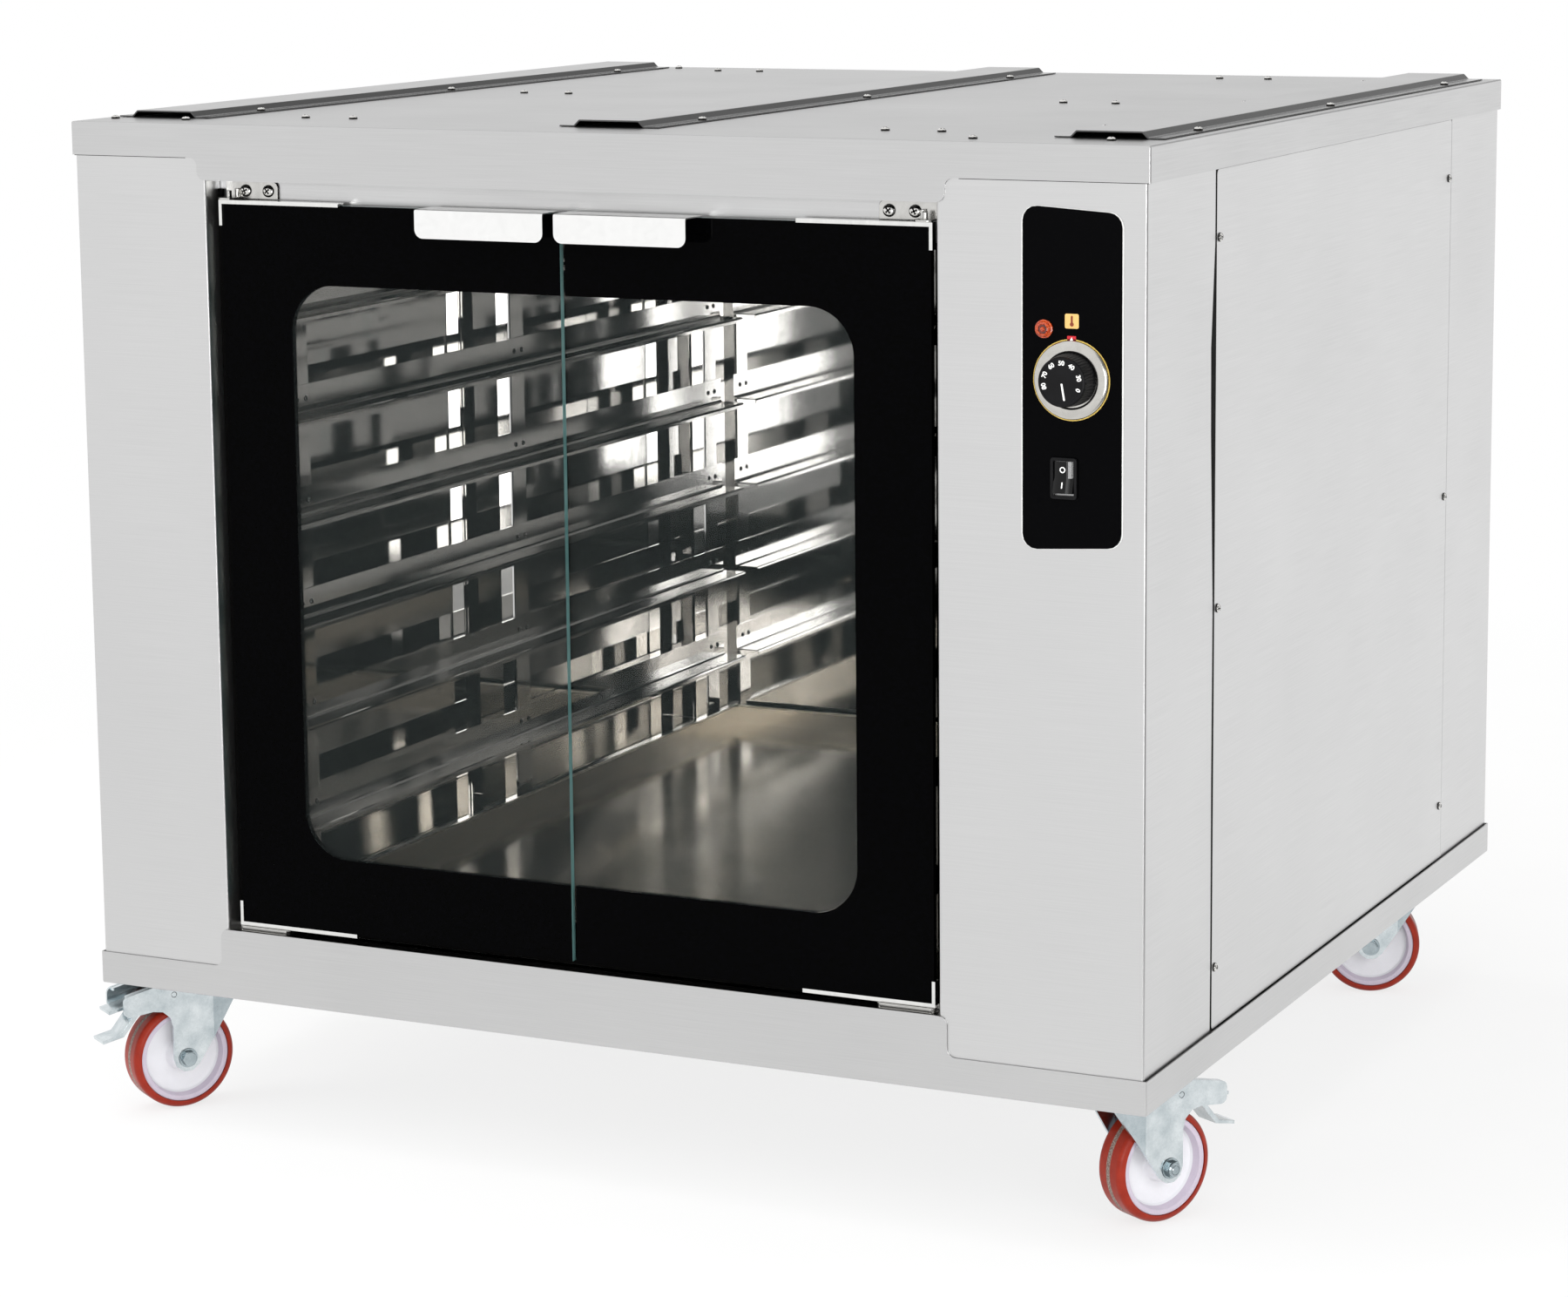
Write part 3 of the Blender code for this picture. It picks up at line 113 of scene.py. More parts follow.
def add_node(tree: Tree, kind: str, inputs: Optional[dict] = None, **settings: object) -> Node:
    """Add one node with its settings and its links.

    Args:
        tree: Node tree that gets the node.
        kind: Blender's name for the type of node.
        inputs: Values or output sockets for its inputs, by input name or number.
        settings: Properties of the node itself.

    Returns:
        The new node.
    """
    node = tree.nodes.new(kind)
    for key, value in settings.items():
        setattr(node, key, value)
    for key, value in (inputs or {}).items():
        if isinstance(value, Socket):
            tree.links.new(value, node.inputs[key])
        else:
            node.inputs[key].default_value = value
    return node


@dataclass
class Surface:
    """A material in the making: its nodes, its main shader and its texture coordinates."""

    tree: Tree
    shader: Node
    place: Node

    @property
    def spot(self) -> Socket:
        """Where each point is, in the cabinet's own frame."""
        return self.place.outputs["Object"]

    def give(self, values: dict[str, float]) -> None:
        """Set some of the shader's own sockets."""
        for name, value in values.items():
            self.shader.inputs[name].default_value = value

    def emboss(self, field: Socket, depth_mm: float) -> None:
        """Let a pattern raise the surface by a depth in millimetres."""
        bump = add_node(self.tree, "ShaderNodeBump",
                        {"Strength": 1.0, "Distance": depth_mm * MM, "Height": field})
        self.tree.links.new(bump.outputs[0], self.shader.inputs["Normal"])


@dataclass(frozen=True)
class Finish:
    """The finish of one real material; each kind draws what its own surface shows."""

    name: str
    colour: str
    shade: str
    roughness: float
    spread: float = 0.05

    def material(self) -> bpy.types.Material:
        """Make the material, or find it if it is made already.

        Returns:
            The material.
        """
        known = bpy.data.materials.get(self.name)
        if known:
            return known
        material = bpy.data.materials.new(self.name)
        material.use_nodes = True
        tree = material.node_tree
        place = add_node(tree, "ShaderNodeTexCoord")
        self.draw(Surface(tree, tree.nodes["Principled BSDF"], place))
        return material

    def draw(self, surface: Surface) -> None:
        """Draw the surface; every kind of finish has its own way."""
        raise NotImplementedError

    def vary(self, surface: Surface, field: Socket) -> None:
        """Let a pattern move the colour from the shade to the full colour, and move the roughness.

        Args:
            surface: The material in the making.
            field: The pattern, mostly between PATTERN_LOW and PATTERN_HIGH.
        """
        tree, shader = surface.tree, surface.shader
        span = {"Value": field, "From Min": PATTERN_LOW, "From Max": PATTERN_HIGH}
        share = add_node(tree, "ShaderNodeMapRange", span)
        tint = add_node(tree, "ShaderNodeMix",
                        {SHARE: share.outputs[0], COLOUR_A: linear(self.shade),
                         COLOUR_B: linear(self.colour)}, data_type="RGBA")
        dull = add_node(tree, "ShaderNodeMapRange",
                        {**span, "To Min": self.roughness + self.spread,
                         "To Max": max(self.roughness - self.spread, 0.0)})
        tree.links.new(tint.outputs[MIXED_COLOUR], shader.inputs["Base Color"])
        tree.links.new(dull.outputs[0], shader.inputs["Roughness"])


@dataclass(frozen=True)
class BrushedSteel(Finish):
    """Stainless sheet ground with a belt: fine level lines, and slow clouds where the belt pressed.

    Real lines are about 0.1 mm apart, too fine to show, so they are drawn coarser.
    """

    line_mm: float = 0.9
    streak_mm: float = 90.0
    cloud_mm: float = 160.0
    cloud_share: float = 0.4
    depth_mm: float = 0.004

    def draw(self, surface: Surface) -> None:
        """Draw level lines on upright faces, and lines along X on flat ones.

        Args:
            surface: The material in the making.
        """
        tree, spot = surface.tree, surface.spot
        surface.give({"Metallic": 1.0})
        where = add_node(tree, "ShaderNodeSeparateXYZ", {0: spot})
        facing = add_node(tree, "ShaderNodeSeparateXYZ", {0: surface.place.outputs["Normal"]})
        flat = add_node(tree, "ShaderNodeMath", {0: facing.outputs[2]}, operation="ABSOLUTE")
        across = add_node(tree, "ShaderNodeMix",
                          {SHARE: flat.outputs[0], NUMBER_A: where.outputs[2],
                                                  NUMBER_B: where.outputs[1]})
        along = add_node(tree, "ShaderNodeMath", {0: where.outputs[0], 1: where.outputs[1]},
                         operation="ADD")
        sheet = add_node(tree, "ShaderNodeCombineXYZ", {0: along.outputs[0], 1: across.outputs[0]})
        pitch = (1 / (self.streak_mm * MM), 1 / (self.line_mm * MM), 0.0)
        spaced = add_node(tree, "ShaderNodeVectorMath", {0: sheet.outputs[0], 1: pitch},
                          operation="MULTIPLY")
        lines = add_node(tree, "ShaderNodeTexNoise",
                         {"Vector": spaced.outputs[0], "Scale": 1.0, "Detail": ROUGH},
                         noise_dimensions="2D")
        cloud = add_node(tree, "ShaderNodeTexNoise",
                         {"Vector": spot, "Scale": 1 / (self.cloud_mm * MM), "Detail": ROUGH})
        both = add_node(tree, "ShaderNodeMix", {SHARE: self.cloud_share, NUMBER_A: lines.outputs[0],
                                                NUMBER_B: cloud.outputs[0]})
        self.vary(surface, both.outputs[0])
        surface.emboss(lines.outputs[0], self.depth_mm)


@dataclass(frozen=True)
class PolishedSteel(Finish):
    """Metal polished close to a mirror: a faint slow wave in the sheet and hairline wiping marks.

    The hairlines are drawn broader than they are, so that they show.
    """

    wave_mm: float = 140.0
    wave_depth_mm: float = 0.05
    hair_mm: float = 1.2
    hair_broader: float = 12.0
    hair_curl: float = 1.5

    def draw(self, surface: Surface) -> None:
        """Draw wiping marks in the colour and roughness, and the wave in the surface.

        Args:
            surface: The material in the making.
        """
        tree, spot = surface.tree, surface.spot
        surface.give({"Metallic": 1.0})
        hair = add_node(tree, "ShaderNodeTexNoise",
                        {"Vector": spot, "Scale": 1 / (self.hair_mm * self.hair_broader * MM),
                         "Detail": FINE, "Distortion": self.hair_curl})
        wave = add_node(tree, "ShaderNodeTexNoise",
                        {"Vector": spot, "Scale": 1 / (self.wave_mm * MM), "Detail": SMOOTH})
        self.vary(surface, hair.outputs[0])
        surface.emboss(wave.outputs[0], self.wave_depth_mm)


@dataclass(frozen=True)
class ZincPlate(Finish):
    """Pressed steel with blue-white zinc plating: soft cloudy patches and small dull stains."""

    patch_mm: float = 16.0
    patch_depth_mm: float = 0.09
    stain_mm: float = 2.2
    stain_edge: float = 0.7
    stain_share: float = 0.3

    def draw(self, surface: Surface) -> None:
        """Draw patches and stains.

        Args:
            surface: The material in the making.
        """
        tree, spot = surface.tree, surface.spot
        surface.give({"Metallic": 1.0})
        patch = add_node(tree, "ShaderNodeTexNoise",
                         {"Vector": spot, "Scale": 1 / (self.patch_mm * MM), "Detail": ROUGH})
        stain = add_node(tree, "ShaderNodeTexNoise",
                         {"Vector": spot, "Scale": 1 / (self.stain_mm * MM), "Detail": GRITTY,
                          "Roughness": self.stain_edge})
        both = add_node(tree, "ShaderNodeMix", {SHARE: self.stain_share, NUMBER_A: patch.outputs[0],
                                                NUMBER_B: stain.outputs[0]})
        self.vary(surface, both.outputs[0])
        surface.emboss(patch.outputs[0], self.patch_depth_mm)


@dataclass(frozen=True)
class MouldedPlastic(Finish):
    """Injection-moulded plastic: a fine spark-eroded grain and slight clouding.

    The grain is drawn coarse enough to show.
    """

    grain_mm: float = 0.5
    grain_depth_mm: float = 0.02
    cloud_mm: float = 14.0
    cloud_share: float = 0.6
    mirror: float = 0.5

    def draw(self, surface: Surface) -> None:
        """Draw the grain and the clouding.

        Args:
            surface: The material in the making.
        """
        tree, spot = surface.tree, surface.spot
        surface.give({"Specular IOR Level": self.mirror})
        grain = add_node(tree, "ShaderNodeTexNoise",
                         {"Vector": spot, "Scale": 1 / (self.grain_mm * MM), "Detail": EVEN})
        cloud = add_node(tree, "ShaderNodeTexNoise",
                         {"Vector": spot, "Scale": 1 / (self.cloud_mm * MM), "Detail": EVEN})
        both = add_node(tree, "ShaderNodeMix", {SHARE: self.cloud_share, NUMBER_A: grain.outputs[0],
                                                NUMBER_B: cloud.outputs[0]})
        self.vary(surface, both.outputs[0])
        surface.emboss(grain.outputs[0], self.grain_depth_mm)


@dataclass(frozen=True)
class GlossLacquer(Finish):
    """Gloss black lacquer or print: a slight orange peel and a little dust."""

    peel_mm: float = 3.0
    peel_depth_mm: float = 0.002
    mirror: float = 0.3

    def draw(self, surface: Surface) -> None:
        """Draw the orange peel and the dust.

        Args:
            surface: The material in the making.
        """
        surface.give({"Specular IOR Level": self.mirror})
        peel = add_node(surface.tree, "ShaderNodeTexNoise",
                        {"Vector": surface.spot, "Scale": 1 / (self.peel_mm * MM),
                         "Detail": SMOOTH})
        self.vary(surface, peel.outputs[0])
        surface.emboss(peel.outputs[0], self.peel_depth_mm)


@dataclass(frozen=True)
class FloatGlass(Finish):
    """Toughened float glass: see-through, faintly green, with wiping marks that show in gloss."""

    veil: float = 1.0
    clear: float = 0.0
    smear_mm: float = 60.0
    ior: float = 1.52

    def draw(self, surface: Surface) -> None:
        """Draw the wiping marks.

        Args:
            surface: The material in the making.
        """
        surface.give({"IOR": self.ior, "Alpha": self.veil, "Transmission Weight": self.clear})
        smear = add_node(surface.tree, "ShaderNodeTexNoise",
                         {"Vector": surface.spot, "Scale": 1 / (self.smear_mm * MM),
                          "Detail": EVEN})
        self.vary(surface, smear.outputs[0])


@dataclass(frozen=True)
class CastPolyurethane(Finish):
    """Cast polyurethane: an even red-brown with slow mottling, small scuffs and embedded grit."""

    mottle_mm: float = 12.0
    scuff_mm: float = 1.6
    scuff_depth_mm: float = 0.04
    scuff_edge: float = 0.7
    scuff_share: float = 0.4
    mirror: float = 0.28

    def draw(self, surface: Surface) -> None:
        """Draw mottling and scuffs.

        Args:
            surface: The material in the making.
        """
        tree, spot = surface.tree, surface.spot
        surface.give({"Specular IOR Level": self.mirror})
        mottle = add_node(tree, "ShaderNodeTexNoise",
                          {"Vector": spot, "Scale": 1 / (self.mottle_mm * MM), "Detail": ROUGH})
        scuff = add_node(tree, "ShaderNodeTexNoise",
                         {"Vector": spot, "Scale": 1 / (self.scuff_mm * MM), "Detail": FINE,
                          "Roughness": self.scuff_edge})
        both = add_node(tree, "ShaderNodeMix",
                        {SHARE: self.scuff_share, NUMBER_A: mottle.outputs[0],
                                                NUMBER_B: scuff.outputs[0]})
        self.vary(surface, both.outputs[0])
        surface.emboss(scuff.outputs[0], self.scuff_depth_mm)


@dataclass(frozen=True)
class SpeckledSeam(Finish):
    """The parting line of a cast tyre, where trimmed skin has picked up pale grit."""

    grit_mm: float = 1.1
    grit_depth_mm: float = 0.08

    def draw(self, surface: Surface) -> None:
        """Draw pale grit on the trimmed skin.

        Args:
            surface: The material in the making.
        """
        grit = add_node(surface.tree, "ShaderNodeTexVoronoi",
                        {"Vector": surface.spot, "Scale": 1 / (self.grit_mm * MM)})
        self.vary(surface, grit.outputs["Distance"])
        surface.emboss(grit.outputs["Distance"], self.grit_depth_mm)


@dataclass(frozen=True)
class LampLens(Finish):
    """Amber acrylic lens: a clear warm body with moulded facets that catch the light."""

    facet_mm: float = 1.6
    facet_depth_mm: float = 0.12
    clear: float = 0.25
    coat: float = 0.6

    def draw(self, surface: Surface) -> None:
        """Draw the facets.

        Args:
            surface: The material in the making.
        """
        surface.give({"Transmission Weight": self.clear, "Coat Weight": self.coat})
        facet = add_node(surface.tree, "ShaderNodeTexVoronoi",
                         {"Vector": surface.spot, "Scale": 1 / (self.facet_mm * MM)})
        self.vary(surface, facet.outputs["Distance"])
        surface.emboss(facet.outputs["Distance"], self.facet_depth_mm)


@dataclass(frozen=True)
class ScreenInk(Finish):
    """Screen-printed ink: flat colour with the slight mottle of the mesh it was pushed through."""

    mesh_mm: float = 0.4

    def draw(self, surface: Surface) -> None:
        """Draw the mottle.

        Args:
            surface: The material in the making.
        """
        mottle = add_node(surface.tree, "ShaderNodeTexNoise",
                          {"Vector": surface.spot, "Scale": 1 / (self.mesh_mm * MM),
                           "Detail": SMOOTH})
        self.vary(surface, mottle.outputs[0])


@dataclass(frozen=True)
class StudioFloor(Finish):
    """Pale matt studio floor that runs out to plain white and keeps the shadow under the cabinet.

    In mirrors it has a dark side, as the room has, and a duller patch in front of the cabinet.
    """

    mottle_scale: float = 6.0
    fade_range: Pair = (0.9, 2.6)
    glow: float = 0.76
    dark_side: Triple = (0.893, -0.427, 0.0)
    dark_reach: Pair = (1.0, 1.6)
    dull_front: float = 0.12
    dull_near: Pair = (-0.45, -0.7)
    dull_far: Pair = (-2.6, -2.0)

    def draw(self, surface: Surface) -> None:
        """Draw the faint mottle, and run the floor out to white for what looks straight at it.

        Args:
            surface: The material in the making.
        """
        tree, spot = surface.tree, surface.spot
        mottle = add_node(tree, "ShaderNodeTexNoise", {"Vector": spot, "Scale": self.mottle_scale})
        self.vary(surface, mottle.outputs[0])
        path = add_node(tree, "ShaderNodeLightPath")
        glossy = path.outputs["Is Glossy Ray"]
        mirrored = add_node(tree, "ShaderNodeMath",
                            {0: glossy, 1: path.outputs["Is Transmission Ray"]},
                            operation="MAXIMUM")
        seen = add_node(tree, "ShaderNodeMath",
                        {0: path.outputs["Is Camera Ray"], 1: mirrored.outputs[0]},
                        operation="MAXIMUM")
        reach = add_node(tree, "ShaderNodeVectorMath", {0: spot},
                         operation="LENGTH").outputs["Value"]
        share = add_node(tree, "ShaderNodeMapRange",
                         {"Value": reach, "From Min": self.fade_range[0],
                          "From Max": self.fade_range[1], "To Min": self.glow, "To Max": 1.0})
        amount = add_node(tree, "ShaderNodeMath", {0: seen.outputs[0], 1: share.outputs[0]},
                          operation="MULTIPLY")
        deepest = add_node(tree, "ShaderNodeMath",
                           {0: self.dark_wall(tree, spot, reach), 1: self.dull_patch(tree, spot)},
                           operation="MAXIMUM")
        dark = add_node(tree, "ShaderNodeMath", {0: deepest.outputs[0], 1: glossy},
                        operation="MULTIPLY")
        pale = add_node(tree, "ShaderNodeMath", {0: 1.0, 1: dark.outputs[0]}, operation="SUBTRACT")
        white = add_node(tree, "ShaderNodeEmission", {"Color": WHITE, "Strength": pale.outputs[0]})
        mixed = add_node(tree, "ShaderNodeMixShader", {0: amount.outputs[0],
                                                       1: surface.shader.outputs[0],
                                                       2: white.outputs[0]})
        tree.links.new(mixed.outputs[0], tree.nodes["Material Output"].inputs["Surface"])

    def dark_wall(self, tree: Tree, spot: Socket, reach: Socket) -> Socket:
        """How dark the floor is in mirrors where it runs out to the room's dark side.

        Args:
            tree: The floor's nodes.
            spot: Where each point is.
            reach: How far each point is from the middle.

        Returns:
            The darkness, where 1 is black.
        """
        far = add_node(tree, "ShaderNodeVectorMath", {0: spot}, operation="NORMALIZE")
        side = add_node(tree, "ShaderNodeVectorMath", {0: far.outputs[0], 1: self.dark_side},
                        operation="DOT_PRODUCT")
        wall = add_node(tree, "ShaderNodeMapRange",
                        {"Value": side.outputs["Value"], "From Min": DARK_RANGE[0],
                         "From Max": DARK_RANGE[1], "To Max": DARK_DEPTH})
        away = add_node(tree, "ShaderNodeMapRange", {"Value": reach, "From Min": self.dark_reach[0],
                                                     "From Max": self.dark_reach[1]})
        return add_node(tree, "ShaderNodeMath", {0: wall.outputs[0], 1: away.outputs[0]},
                        operation="MULTIPLY").outputs[0]

    def dull_patch(self, tree: Tree, spot: Socket) -> Socket:
        """How dull the floor is in mirrors in front of the cabinet.

        Args:
            tree: The floor's nodes.
            spot: Where each point is.

        Returns:
            The dullness, where 1 is black.
        """
        where = add_node(tree, "ShaderNodeSeparateXYZ", {0: spot})
        near = add_node(tree, "ShaderNodeMapRange",
                        {"Value": where.outputs[1], "From Min": self.dull_near[0],
                         "From Max": self.dull_near[1], "To Max": self.dull_front})
        far = add_node(tree, "ShaderNodeMapRange",
                       {"Value": where.outputs[1], "From Min": self.dull_far[0],
                        "From Max": self.dull_far[1]})
        return add_node(tree, "ShaderNodeMath", {0: near.outputs[0], 1: far.outputs[0]},
                        operation="MULTIPLY").outputs[0]


# Ground stainless sheet of the outer panels: pale grey with a soft, even gloss
SATIN_STEEL = BrushedSteel("satin_stainless_sheet", "#DADADA", "#D5D5D5", 0.33, 0.04)
# The same sheet from another coil on the folded cover and base tray: a shade darker
COVER_STEEL = BrushedSteel("satin_cover_sheet", "#D2D2D2", "#CCCCCC", 0.33, 0.04)
# The upper face of the cover and the rails' crowns, drawn darker than the sides: painted shade
TOP_SHADE_STEEL = BrushedSteel("cover_top_painted_shade", "#B2B2B2", "#ACACAC", 0.33, 0.04)
# Bright annealed stainless of the chamber: close to a mirror, slightly warm
LINER_STEEL = PolishedSteel("bright_annealed_sheet", "#DCDBD9", "#D6D5D3", 0.025, 0.005,
                            wave_depth_mm=0.006)
# The rear sheet of the chamber, drawn darker than the side walls
REAR_STEEL = PolishedSteel("dull_annealed_sheet", "#A8A7A5", "#A09F9D", 0.05, 0.01,
                           wave_depth_mm=0.006)
# Bright stainless strip of the racks, drawn through rolls
RACK_STEEL = BrushedSteel("rolled_bright_strip", "#E6E5E3", "#DEDDDB", 0.05, 0.01, line_mm=0.7,
                          depth_mm=0.0001)
# Smooth strip of the oven rails; its flanks and flanges are drawn dark as a painted reflection of
# the room's dark side
RAIL_DARK_REFLECTION = BrushedSteel("rail_painted_dark_reflection", "#6C6C6C", "#606060", 0.2, 0.03, line_mm=0.7,
                          depth_mm=0.001)
# Stainless pan dulled by water: warm beige grey
PAN_STEEL = BrushedSteel("water_stained_pan_sheet", "#C4BEB4", "#B8B2A7", 0.17, 0.05, line_mm=1.2,
                         cloud_mm=90.0, depth_mm=0.0015)
# Bright satin handles, and polished or chromed fittings
HANDLE_STEEL = PolishedSteel("bright_satin_handle", "#FCFCFB", "#F8F8F7", 0.22, 0.02,
                             wave_depth_mm=0.004)
MIRROR_STEEL = PolishedSteel("mirror_polished_fitting", "#F0F0EE", "#E6E6E4", 0.08, 0.03,
                             wave_depth_mm=0.006)
CHROME = PolishedSteel("turned_chrome", "#E6E5E2", "#D9D8D5", 0.07, 0.03, wave_mm=40.0,
                       wave_depth_mm=0.006)
SATIN_CHROME = PolishedSteel("satin_chrome_plate", "#D2D0CB", "#C6C4BF", 0.14, 0.04,
                             wave_depth_mm=0.004)
BRACKET_STEEL = PolishedSteel("satin_hinge_plate", "#D4D3D0", "#CAC9C6", 0.24, 0.04,
                              wave_depth_mm=0.004)
# Rolled hem of the water pan, rubbed bright
HEM_STEEL = BrushedSteel("rubbed_pan_hem", "#DCD6CA", "#D0CABD", 0.28, 0.05, line_mm=1.2,
                         depth_mm=0.001)
# Painted shade for the recesses and rims of screws and the hinge plates' cut edges
PAINTED_SHADE_STEEL = PolishedSteel("painted_shade_recess", "#3A3938", "#242322", 0.4, 0.1)
# Zinc-plated caster pressings, with painted shade on the forks' bent noses,
# and their bolts and nuts with painted shade on their flanks
ZINC = ZincPlate("blue_white_zinc_plate", "#E4EAEC", "#BCC6CA", 0.2, 0.05)
ZINC_NOSE_SHADE = ZincPlate("zinc_nose_painted_shade", "#CBD4D8", "#AAB6BB", 0.24, 0.05)
ZINC_FLANK_SHADE = ZincPlate("zinc_flank_painted_shade", "#97A3A7", "#7C878C", 0.26, 0.06)
ZINC_BOLT = ZincPlate("bolt_zinc_plate", "#BCC7CB", "#97A3A8", 0.2, 0.05)
# Heat-darkened sheath of the heater
HEATER_SHEATH = BrushedSteel("heat_darkened_sheath", "#77726B", "#5A5650", 0.45, 0.1)
# Door glass in its clear window, its ground edges, and the part that is printed black
DOOR_GLASS = FloatGlass("toughened_float_glass", "#525B5A", "#4A5352", 0.02, 0.01, veil=0.07)
GLASS_EDGE = FloatGlass("ground_glass_edge", "#7BA5A3", "#5F8C8A", 0.2, 0.05, clear=0.3)
FRIT = GlossLacquer("black_printed_glass", "#030304", "#020202", 0.05, 0.02, peel_depth_mm=0.0003,
                    mirror=0.02)
# Black strips of painted shadow in the door gaps, behind the panel seams and under the cover's lap
PAINTED_SHADOW_BLACK = MouldedPlastic("painted_shadow_black", "#0C0B0B", "#070707", 0.6, mirror=0.04)
# Black lacquered fascia, moulded switch and knob
FASCIA_BLACK = GlossLacquer("gloss_black_fascia", "#040405", "#030304", 0.12, 0.04, mirror=0.03)
ROCKER_BLACK = GlossLacquer("gloss_moulded_rocker", "#070708", "#050506", 0.06, 0.02, mirror=0.25)
# The rocker's right flank, given a stronger gloss: a painted highlight
ROCKER_HIGHLIGHT = GlossLacquer("rocker_painted_highlight", "#070708", "#050506", 0.09, 0.02, mirror=1.0)
BLACK_PLASTIC = MouldedPlastic("fine_grained_black_moulding", "#141416", "#0D0D0E", 0.40,
                               mirror=0.15)
# White nylon wheel cores, their rims lilac with painted shade and a painted reflection of the red
# tyre,
# red polyurethane tyres and their gritty parting line
NYLON = MouldedPlastic("white_moulded_nylon", "#EDEDF1", "#E7E7EB", 0.36, 0.05, grain_mm=1.2,
                       grain_depth_mm=0.01)
RIM_SHADE_NYLON = MouldedPlastic("rim_painted_shade_nylon", "#CFC5D3", "#C5BACA", 0.34, 0.05, grain_mm=1.2,
                              grain_depth_mm=0.01)
TYRE_RED = CastPolyurethane("cast_red_polyurethane", "#A22C15", "#89200E", 0.36, 0.08)
SEAM_GREY = SpeckledSeam("gritty_parting_skin", "#9C9088", "#6E4A40", 0.6, 0.1)
# Amber lamp lens with its deeper inner ring, and the printed marks
AMBER = LampLens("amber_acrylic_lens", "#DE5A22", "#A8300C", 0.12, 0.05)
DEEP_AMBER = LampLens("deep_amber_well", "#7A2008", "#4A1004", 0.15, 0.05)
WHITE_INK = ScreenInk("white_screen_ink", "#FAFAF8", "#F0F0EE", 0.45)
GOLD_INK = ScreenInk("gold_screen_ink", "#D9BC63", "#C8A84C", 0.35)
SAND_INK = ScreenInk("sand_screen_ink", "#E9BF78", "#DFB267", 0.45)
BROWN_INK = ScreenInk("brown_screen_ink", "#8A3B1E", "#752E15", 0.4)
RED_INK = ScreenInk("red_screen_ink", "#D0222E", "#BA1A26", 0.4)
FLOOR = StudioFloor("pale_studio_floor", "#F3F3F2", "#EEEEED", 0.75)


def arc(centre: Pair, radius: float, start: float, end: float, steps: int = 8) -> list[Pair]:
    """Points along an arc, with its angles in degrees."""
    turns = [radians(start + (end - start) * step / steps) for step in range(steps + 1)]
    return [(centre[0] + radius * cos(turn), centre[1] + radius * sin(turn)) for turn in turns]


def circle(radius: float, steps: int = 48) -> list[Pair]:
    """A round outline about the origin."""
    return arc((0.0, 0.0), radius, 0.0, 360.0, steps)[:-1]


def rectangle(low: Pair, high: Pair) -> list[Pair]:
    """A square-cornered outline."""
    return [(low[0], low[1]), (high[0], low[1]), (high[0], high[1]), (low[0], high[1])]


def in_mm(*points: Pair) -> list[Pair]:
    """Points that are given in millimetres."""
    return [(u * MM, v * MM) for u, v in points]


def both_sides(half: Sequence[Pair]) -> list[Pair]:
    """A turned profile whose far half mirrors its near half."""
    return list(half) + [(radius, -height) for radius, height in reversed(half)]


def rounded(points: Sequence[Pair], radius: Union[float, Sequence[float]], closed: bool = True,
            steps: int = 8) -> list[Pair]:
    """Round the corners of an outline.

    Args:
        points: Its corners.
        radius: One radius, or one for each corner, where 0 leaves it sharp.
        closed: False for a line with two ends, which stay as they are.
        steps: Straight pieces in each corner.

    Returns:
        The rounded outline.
    """
    outline: list[Pair] = []
    for index, point in enumerate(points):
        size = radius[index] if isinstance(radius, (list, tuple)) else radius
        if size == 0 or (not closed and index in (0, len(points) - 1)):
            outline.append((point[0], point[1]))
            continue
        corner = Vector(point)
        before = (Vector(points[index - 1]) - corner).normalized()
        after = (Vector(points[(index + 1) % len(points)]) - corner).normalized()
        half = before.angle(after) / 2
        centre = corner + (before + after).normalized() * size / sin(half)
        first = corner + before * size / tan(half) - centre
        last = corner + after * size / tan(half) - centre
        start = atan2(first.y, first.x)
        sweep = (atan2(last.y, last.x) - start + pi) % (2 * pi) - pi
        outline += arc((centre.x, centre.y), size, start * 180 / pi, (start + sweep) * 180 / pi,
                       steps)
    return outline


def ribbon(line: Sequence[Pair], thickness: float) -> list[Pair]:
    """The closed section of a sheet that follows a line.

    Args:
        line: The sheet's outer face.
        thickness: How far its metal reaches to the line's left.

    Returns:
        The section's outline.
    """
    other: list[Pair] = []
    for index, point in enumerate(line):
        before = Vector(line[max(index - 1, 0)])
        after = Vector(line[min(index + 1, len(line) - 1)])
        along = (after - before).normalized()
        other.append((point[0] - along.y * thickness, point[1] + along.x * thickness))
    return list(line) + other[::-1]


def joint(name: str) -> tuple[Vector, Vector]:
    """A joint's place and its axis."""
    entry = next(item for item in frame["joints"] if item["name"] == name)
    return Vector(entry["pos_m"]), Vector(entry["axis"]).normalized()


def placed(x: float, y: float, z: float, facing: Matrix = PLAN) -> Matrix:
    """A frame at a place that faces one way."""
    return Matrix.Translation((x, y, z)) @ facing


